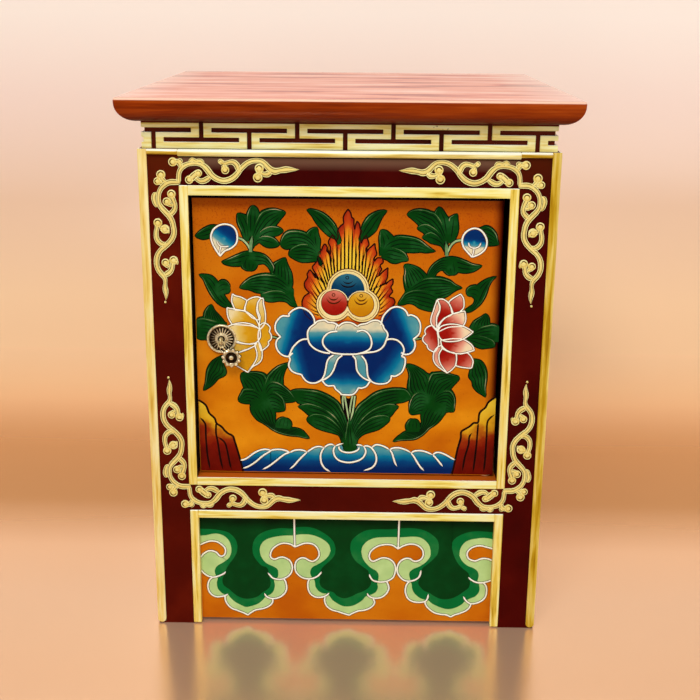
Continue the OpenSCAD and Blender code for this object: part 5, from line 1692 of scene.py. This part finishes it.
dark_tops = [
    [(-161, 113.5), (-145, 113), (-131.7, 110.3), (-126.1, 106.4), (-121.7, 100.3),
     (-120, 93.1)],
    [(-103.7, 90.9), (-102.2, 98.7), (-98.3, 105.3), (-91.7, 110.3), (-82.8, 113.7),
     (-71.7, 115.6), (-60.6, 115.3), (-53.9, 117), (-43.9, 117.6), (-35, 115.9),
     (-27.2, 112), (-19.4, 106.4), (-13.9, 99.8), (-11.7, 92)],
    [(4.4, 90.9), (5, 98.7), (7.8, 104.2), (14.4, 110.3), (23.3, 114.8), (35.6, 115.9),
     (48.9, 116.1), (62.2, 117.6), (73.3, 117.8), (82.2, 116.4), (90, 113.1),
     (96.7, 108.1), (101.1, 102), (102, 94.2)],
    [(116.4, 94.2), (116.1, 99.8), (118.9, 105.3), (124.4, 109.8), (133.3, 113.7),
     (144.4, 115.3), (160.8, 114.2)]]
print("edges in the dark green:", len(dark_edges) + len(dark_tops))


# %% Paint the clouds
def under_rail(tone):
    """The tone of a green, darker towards the shadow under the rail."""
    return lambda p: tone - np.clip((p[..., 1] - 112) / 16, 0, 1) * 0.14


def cloud_layer(edges, tops, lift, tone):
    """One green: a film for each cloud and a band from the heads' tops to the rail."""
    for middle, edge in zip(cloud_middles, edges):
        film("clouds", APRON, edge, lift, under_rail(tone), middle)
    over = np.vstack([smooth(top) for top in tops])
    rail = np.stack([over[:, 0], np.full(len(over), RAIL_EDGE)], 1)
    band("clouds", APRON, over, rail, lift + 0.005, under_rail(tone), rows=8)


cloud_layer([np.vstack([smooth(run) for _, run, _ in edge]) for edge in white_edges],
            white_tops, 0.05, 0.93)
cloud_layer([smooth(edge) for edge in mid_edges], mid_tops, 0.08, 0.52)
cloud_layer([smooth(edge) for edge in dark_edges], dark_tops, 0.11, 0.24)
for edge in white_edges:
    for before, run, after in edge:
        line = smooth(before + run + after)
        white_line(APRON, line, 0.13, 1.85, (2 * bool(before), 2 * bool(after)), 0.15)
for run in white_tops + [[(-57.2, RAIL_EDGE), (-57, 110), (-56.7, 93.6)],
                         [(57.7, RAIL_EDGE), (57.5, 110), (57.2, 93.2)]]:
    white_line(APRON, smooth(run), 0.13, 1.85, dark=0.15)
cloud_green = tinted("cloud_green", (0.0, "#010701"), (0.08, "#031A06"), (0.24, "#013E14"),
                     (0.52, "#027234"), (0.72, "#5AA056"), (0.93, "#BCDE90"),
                     (1.0, "#D4F2A8"), uneven=0.03)
make("clouds", cloud_green, "cabinet")
for heap, paint, slot in (("line_shadows", line_dark, "maroon_paint"),
                          ("white_lines", line_white, "white_line_paint")):
    make(heap, paint, "cabinet").name = "apron_" + heap

# %% [markdown]
# ## Raised scrolls
# The corners of the frame carry leaf scrolls built up in gesso and gilded. A scroll is a
# stroke with a shaped back: a full round middle between two grooves and two thin bright
# lips. The bright lips are a painted highlight and the dark grooves painted shade. Every curl
# ends in a round bud, painted the same way. Only one corner is drawn; the other three are its
# mirror images, sideways and upside down. A place and its image upside down have heights
# that add up to twice the height of the mirror line.

# %% Scrolls
FRAME = -0.1985
lips_out = np.array([1, 0.98, 0.93, 0.72, 0.67, 0.54, 0.48, 0, -0.50, -0.56, -0.67, -0.73,
                     -0.93, -0.98, -1, -1, 1])
lips_rise = np.array([0.15, 0.70, 0.92, 0.90, 0.36, 0.32, 0.66, 1, 0.90, 0.50, 0.48, 0.90,
                      0.92, 0.70, 0.15, 0, 0])
# Tones across a stroke: a painted highlight on the lips, painted shade in the grooves.
lips_tone = np.array([1, 1, 1, 1, 0.0, 0.0, 0.65, 0.86, 0.72, 0.06, 0.04, 1, 1, 1, 1, 0.2,
                      0.2])


def scroll(points, height=1.3):
    """A stroke with the shaped back through (x, z, width) points. Each end is round: within
    half the end's width r of it, at distance d, the width shrinks by the root of
    1 - (1 - d/r) squared."""
    line = smooth(points, 1.0)
    line, width = line[:, :2], line[:, 2]
    along = run_along(line)
    ends = [np.clip(d / max(w / 2, 0.3), 0, 1) for d, w in
            ((along, width[0]), (along[-1] - along, width[-1]))]
    slim = np.sqrt(np.maximum(1 - (1 - np.minimum(*ends)) ** 2, 0.02)) * width
    flat = line[:, None] + across(line)[:, None] * (slim[:, None] / 2 * lips_out)[..., None]
    back = 0.1 + height * np.clip(slim / 4, 0.1, 1)[:, None] ** 0.7 * lips_rise
    level = np.where(lips_rise > 0, back, SUNK)
    shell("scrolls", on(FRAME, line[0], 0.1), on(FRAME, flat, level), on(FRAME, line[-1], 0.1),
          np.broadcast_to(lips_tone, level.shape))


def bud(x, z, radius, open_at, height=1.45):
    """A round bud: a dome whose groove runs inside its lip and closes towards one angle,
    given in degrees, where the stroke that carries it comes in."""
    turn = np.linspace(0, 2 * np.pi, 29)[:-1]
    around = np.stack([np.cos(turn), np.sin(turn)], 1)
    cut = np.clip(0.30 - 0.9 * np.cos(turn - np.radians(open_at)), 0, 1)
    share = np.array([0.26, 0.46, 0.54, 0.70, 0.77, 0.93, 1.0, 1.0])[:, None]
    rise = np.array([0.97, 0.88, 0.54, 0.50, 0.88, 0.78, 0.15, 0])[:, None]
    # The bud's tones paint a highlight on its lip and shade in its groove.
    tone = np.array([0.86, 0.70, 0.02, 0.04, 1.0, 1.0, 1.0, 0.2])[:, None]
    groove = np.array([0, 0.1, 0.8, 0.8, -0.3, -0.3, 0, 0])[:, None] * (1 - cut)
    rise, tone = rise + 0.4 * groove, tone + 0.75 * groove
    middle = np.array([x, z])
    flat = middle + radius * share[..., None] * around
    level = np.where(rise > 0, 0.1 + height * rise, SUNK)
    shell("scrolls", on(FRAME, middle, 0.1 + height), on(FRAME, flat, level),
          on(FRAME, middle, SUNK), tone)


print("points across a stroke:", len(lips_out))

# %% Strokes of one corner
rail_strokes = [
    [(-147.6, 505.3, 3.6), (-149.8, 506.6, 6.4), (-153.2, 504.5, 7.1), (-156.6, 501.4, 7.4),
     (-159.3, 499.6, 8.2)],
    [(-137.7, 502.9, 3.1), (-140.6, 500.8, 5.6), (-144.2, 498.7, 5.9), (-147.8, 498.2, 5.1),
     (-150.8, 499.7, 4.6), (-153.0, 502.2, 4.6)],
    [(-167.5, 511.5, 4.6), (-167.9, 514.8, 5.4), (-169.6, 517.0, 5.6), (-172.4, 517.3, 5.6),
     (-174.9, 517.0, 5.1)],
    [(-158.9, 516.6, 2.6), (-156.8, 518.9, 4.3), (-154.8, 519.2, 4.8), (-152.0, 517.9, 4.1),
     (-149.0, 518.4, 4.6), (-146.5, 517.8, 4.8), (-144.5, 515.0, 2.6)],
    [(-155.7, 522.0, 1.0), (-155.6, 520.7, 3.1), (-154.8, 519.0, 3.6)],
    [(-108.8, 506.7, 4.0), (-110.2, 511.3, 5.7), (-111.8, 515.0, 6.0), (-114.9, 517.4, 5.5),
     (-118.6, 517.4, 4.6), (-122.1, 516.2, 4.6), (-125.2, 515.7, 4.6)],
    [(-124.7, 515.7, 5.2), (-126.9, 517.7, 5.2), (-127.4, 519.7, 3.4)],
    [(-125.2, 515.1, 4.6), (-123.9, 512.3, 5.7), (-123.1, 510.0, 6.9)],
    [(-77.1, 508.8, 3.4), (-80.3, 506.2, 6.3), (-83.4, 505.6, 5.5), (-86.3, 506.4, 4.3),
     (-88.5, 508.1, 5.7)],
    [(-88.3, 506.4, 5.2), (-89.9, 509.8, 6.3), (-89.2, 512.1, 6.9)],
    [(-87.7, 506.7, 5.2), (-90.0, 504.1, 7.5), (-90.9, 502.5, 8.0)],
    [(-169.4, 496.4, 3.6), (-169.9, 498.5, 4.8), (-169.7, 502.6, 4.6), (-169.1, 506.6, 4.7),
     (-167.3, 510.2, 5.1), (-164.4, 513.0, 5.4), (-160.3, 515.0, 4.8), (-155.7, 515.8, 4.5),
     (-151.1, 515.9, 4.6), (-146.5, 514.7, 5.1), (-142.8, 512.0, 6.1), (-139.9, 508.5, 6.4),
     (-137.2, 504.7, 6.1), (-133.9, 502.0, 6.0), (-130.2, 500.0, 5.9), (-125.8, 498.8, 5.9),
     (-121.3, 499.2, 6.2), (-117.0, 500.9, 6.3), (-113.5, 503.5, 6.1), (-110.3, 507.0, 5.7),
     (-107.6, 510.8, 5.5), (-104.1, 514.2, 5.4), (-100.7, 516.8, 5.2), (-96.6, 518.6, 5.1),
     (-92.1, 519.3, 5.1), (-87.5, 518.7, 5.2), (-84.1, 516.6, 5.4), (-81.0, 513.3, 5.9),
     (-77.6, 510.2, 6.5), (-73.4, 508.8, 6.8), (-68.8, 509.7, 5.6), (-63.1, 510.6, 6.4),
     (-58.5, 510.8, 4.9), (-53.9, 510.6, 2.6), (-49.7, 510.8, 0.2)]]
rail_buds = [(-175.2, 517.1, 4.5, 0), (-167.8, 518.1, 2.7, 230), (-159.3, 499.5, 4.2, 35),
             (-149.9, 506.1, 3.7, 250), (-127.6, 518.0, 2.6, -40), (-123.1, 509.5, 4.1, 110),
             (-89.2, 511.5, 4.6, -90), (-90.8, 502.3, 4.9, 80)]
post_strokes = [
    [(-175.5, 474.0, 3.1), (-178.5, 473.9, 4.1), (-181.3, 475.7, 5.6), (-182.8, 477.5, 6.1)],
    [(-181.0, 462.8, 3.6), (-178.3, 465.4, 5.6), (-175.4, 468.8, 5.4), (-174.4, 472.7, 4.8),
     (-175.1, 476.3, 4.8), (-176.5, 479.9, 5.6), (-177.7, 483.0, 6.1)],
    [(-181.8, 496.3, 3.1), (-184.5, 498.1, 4.6), (-186.5, 500.3, 5.4), (-187.4, 502.9, 6.1)],
    [(-185.9, 496.3, 3.1), (-188.4, 496.7, 5.1), (-190.9, 497.7, 5.6)],
    [(-192.7, 486.4, 1.0), (-194.3, 484.6, 4.6), (-195.2, 481.3, 5.4), (-194.8, 477.7, 5.1),
     (-193.7, 474.0, 4.1), (-192.0, 471.5, 1.5)],
    [(-192.1, 454.8, 6.1), (-193.4, 450.1, 4.6), (-194.3, 446.4, 4.7), (-194.5, 442.0, 5.0),
     (-193.4, 437.8, 5.5), (-190.6, 434.6, 5.7), (-187.3, 433.4, 5.1), (-184.1, 435.0, 3.6)],
    [(-190.8, 450.1, 4.1), (-188.2, 449.6, 5.6), (-185.1, 449.1, 6.6), (-182.4, 446.6, 4.1),
     (-181.4, 444.7, 1.5)],
    [(-188.6, 401.1, 3.1), (-185.4, 402.5, 5.9), (-182.2, 404.7, 5.9), (-179.9, 408.2, 5.1),
     (-179.3, 411.7, 4.8), (-178.4, 415.4, 6.6)],
    [(-178.1, 417.0, 6.1), (-175.7, 416.5, 4.8), (-174.4, 414.4, 3.1), (-174.2, 412.3, 1.0)],
    [(-181.5, 409.5, 3.6), (-184.0, 411.1, 4.3), (-186.0, 412.7, 5.6), (-186.2, 414.5, 6.1)],
    [(-168.2, 497.1, 3.6), (-170.5, 496.9, 5.1), (-173.6, 497.0, 5.7), (-177.2, 497.0, 5.9),
     (-180.8, 496.1, 5.7), (-184.2, 494.0, 5.4), (-187.4, 490.9, 5.1), (-189.6, 487.0, 4.8),
     (-190.6, 482.9, 4.6), (-190.8, 478.7, 4.6), (-190.1, 474.6, 4.8), (-187.9, 470.7, 5.6),
     (-184.5, 466.9, 6.0), (-181.3, 463.3, 6.0), (-178.8, 459.4, 5.7), (-177.3, 455.0, 5.5),
     (-176.7, 451.0, 5.4), (-176.3, 447.7, 5.5), (-176.8, 443.5, 5.6), (-178.8, 439.0, 5.7),
     (-182.1, 435.0, 5.6), (-186.1, 431.2, 5.6), (-190.1, 427.8, 5.4), (-193.1, 423.7, 5.5),
     (-194.7, 419.5, 5.7), (-195.3, 415.2, 5.6), (-195.0, 410.9, 5.4), (-193.6, 406.7, 5.4),
     (-191.1, 403.0, 5.5), (-188.4, 399.8, 5.1), (-187.2, 396.6, 4.3), (-187.2, 392.8, 3.8),
     (-187.6, 389.6, 4.7), (-187.3, 385.8, 5.7), (-186.9, 382.5, 4.7), (-186.9, 378.8, 2.8),
     (-187.4, 374.9, 0.2)]]
post_buds = [(-177.6, 484.9, 4.4, -90), (-182.6, 477.3, 4.2, -35), (-187.5, 504.2, 4.7, -70),
             (-191.2, 497.7, 3.9, -15), (-192.4, 455.6, 4.5, -90), (-185.4, 449.1, 4.7, 190),
             (-177.8, 417.0, 4.5, -100), (-186.2, 414.5, 4.1, -60), (-188.0, 372.8, 1.2, -90)]
print("strokes:", len(rail_strokes) + len(post_strokes), "buds:", len(rail_buds) + len(post_buds))

# %% Mirror the corner
RAIL_SUM, POST_SUM = 663.0, 663.5
for strokes, buds, height_sum in ((rail_strokes, rail_buds, RAIL_SUM),
                                  (post_strokes, post_buds, POST_SUM)):
    for side in (1, -1):
        for turned in (1, -1):
            shift = height_sum * (turned < 0)
            for points in strokes:
                scroll(np.array(points) * (side, turned, 1) + (0, shift, 0))
            for x, z, radius, open_at in buds:
                angle = np.radians(open_at)
                angle = np.degrees(np.arctan2(turned * np.sin(angle), side * np.cos(angle)))
                bud(x * side, z * turned + shift, radius, angle)
relief_gold = tinted("relief_gold", (0.0, "#2A1402"), (0.2, "#6A480E"), (0.5, "#DAB84A"),
                     (0.8, "#F4E084"), (1.0, "#FFF8AC"), roughness=0.34, uneven=0.07,
                     metallic=0.1)
make("scrolls", relief_gold, "cabinet")

# %% [markdown]
# ## The top board
# The board's edge is rounded over below and nearly square above. The joinery has that
# moulding in facets. Here it is one smooth skin: the board's outline with softened corners,
# repeated as rings that step out and down along the moulding's profile.

# %% Top board
board = np.array([tuple(v.co) for v in nodes["top_board"].data.vertices])
half, top = np.abs(board[:, :2]).max(0), board[:, 2].max()
SMALL_ROUND, LARGE_ROUND, THICK_MM, CORNER = 2.5, 20, 24, 0.002
quarter = np.linspace(0, np.pi / 2, 13)
inset = np.concatenate([[30, 6], SMALL_ROUND * (1 - np.sin(quarter)), [0],
                        LARGE_ROUND * (1 - np.cos(quarter)), [26]]) / 1000
depth = np.concatenate([[0, 0], SMALL_ROUND * (1 - np.cos(quarter)), [3.2],
                        THICK_MM - LARGE_ROUND + LARGE_ROUND * np.sin(quarter),
                        [THICK_MM]]) / 1000
radius = np.maximum(CORNER - inset, 0.0006)[:, None]
corner = np.linspace(0, 2 * np.pi, 33)[:-1] + np.pi / 32
sides = [np.sign(part) * (reach - inset[:, None] - radius) + radius * part
         for part, reach in ((np.cos(corner), half[0]), (np.sin(corner), half[1]))]
rings = np.stack([*sides, np.broadcast_to(top - depth[:, None], sides[0].shape)], -1)
shell("top_skin", np.array([0, 0, top]), rings, np.array([0, 0, top - THICK_MM / 1000]),
      np.ones(rings.shape[:2]))
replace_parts(make("top_skin", varnished, "cabinet"), "top_board")
print("top board", np.round(2000 * half, 1), "mm")

# %% [markdown]
# ## The end

# %% Finish
print("the scene is dressed")
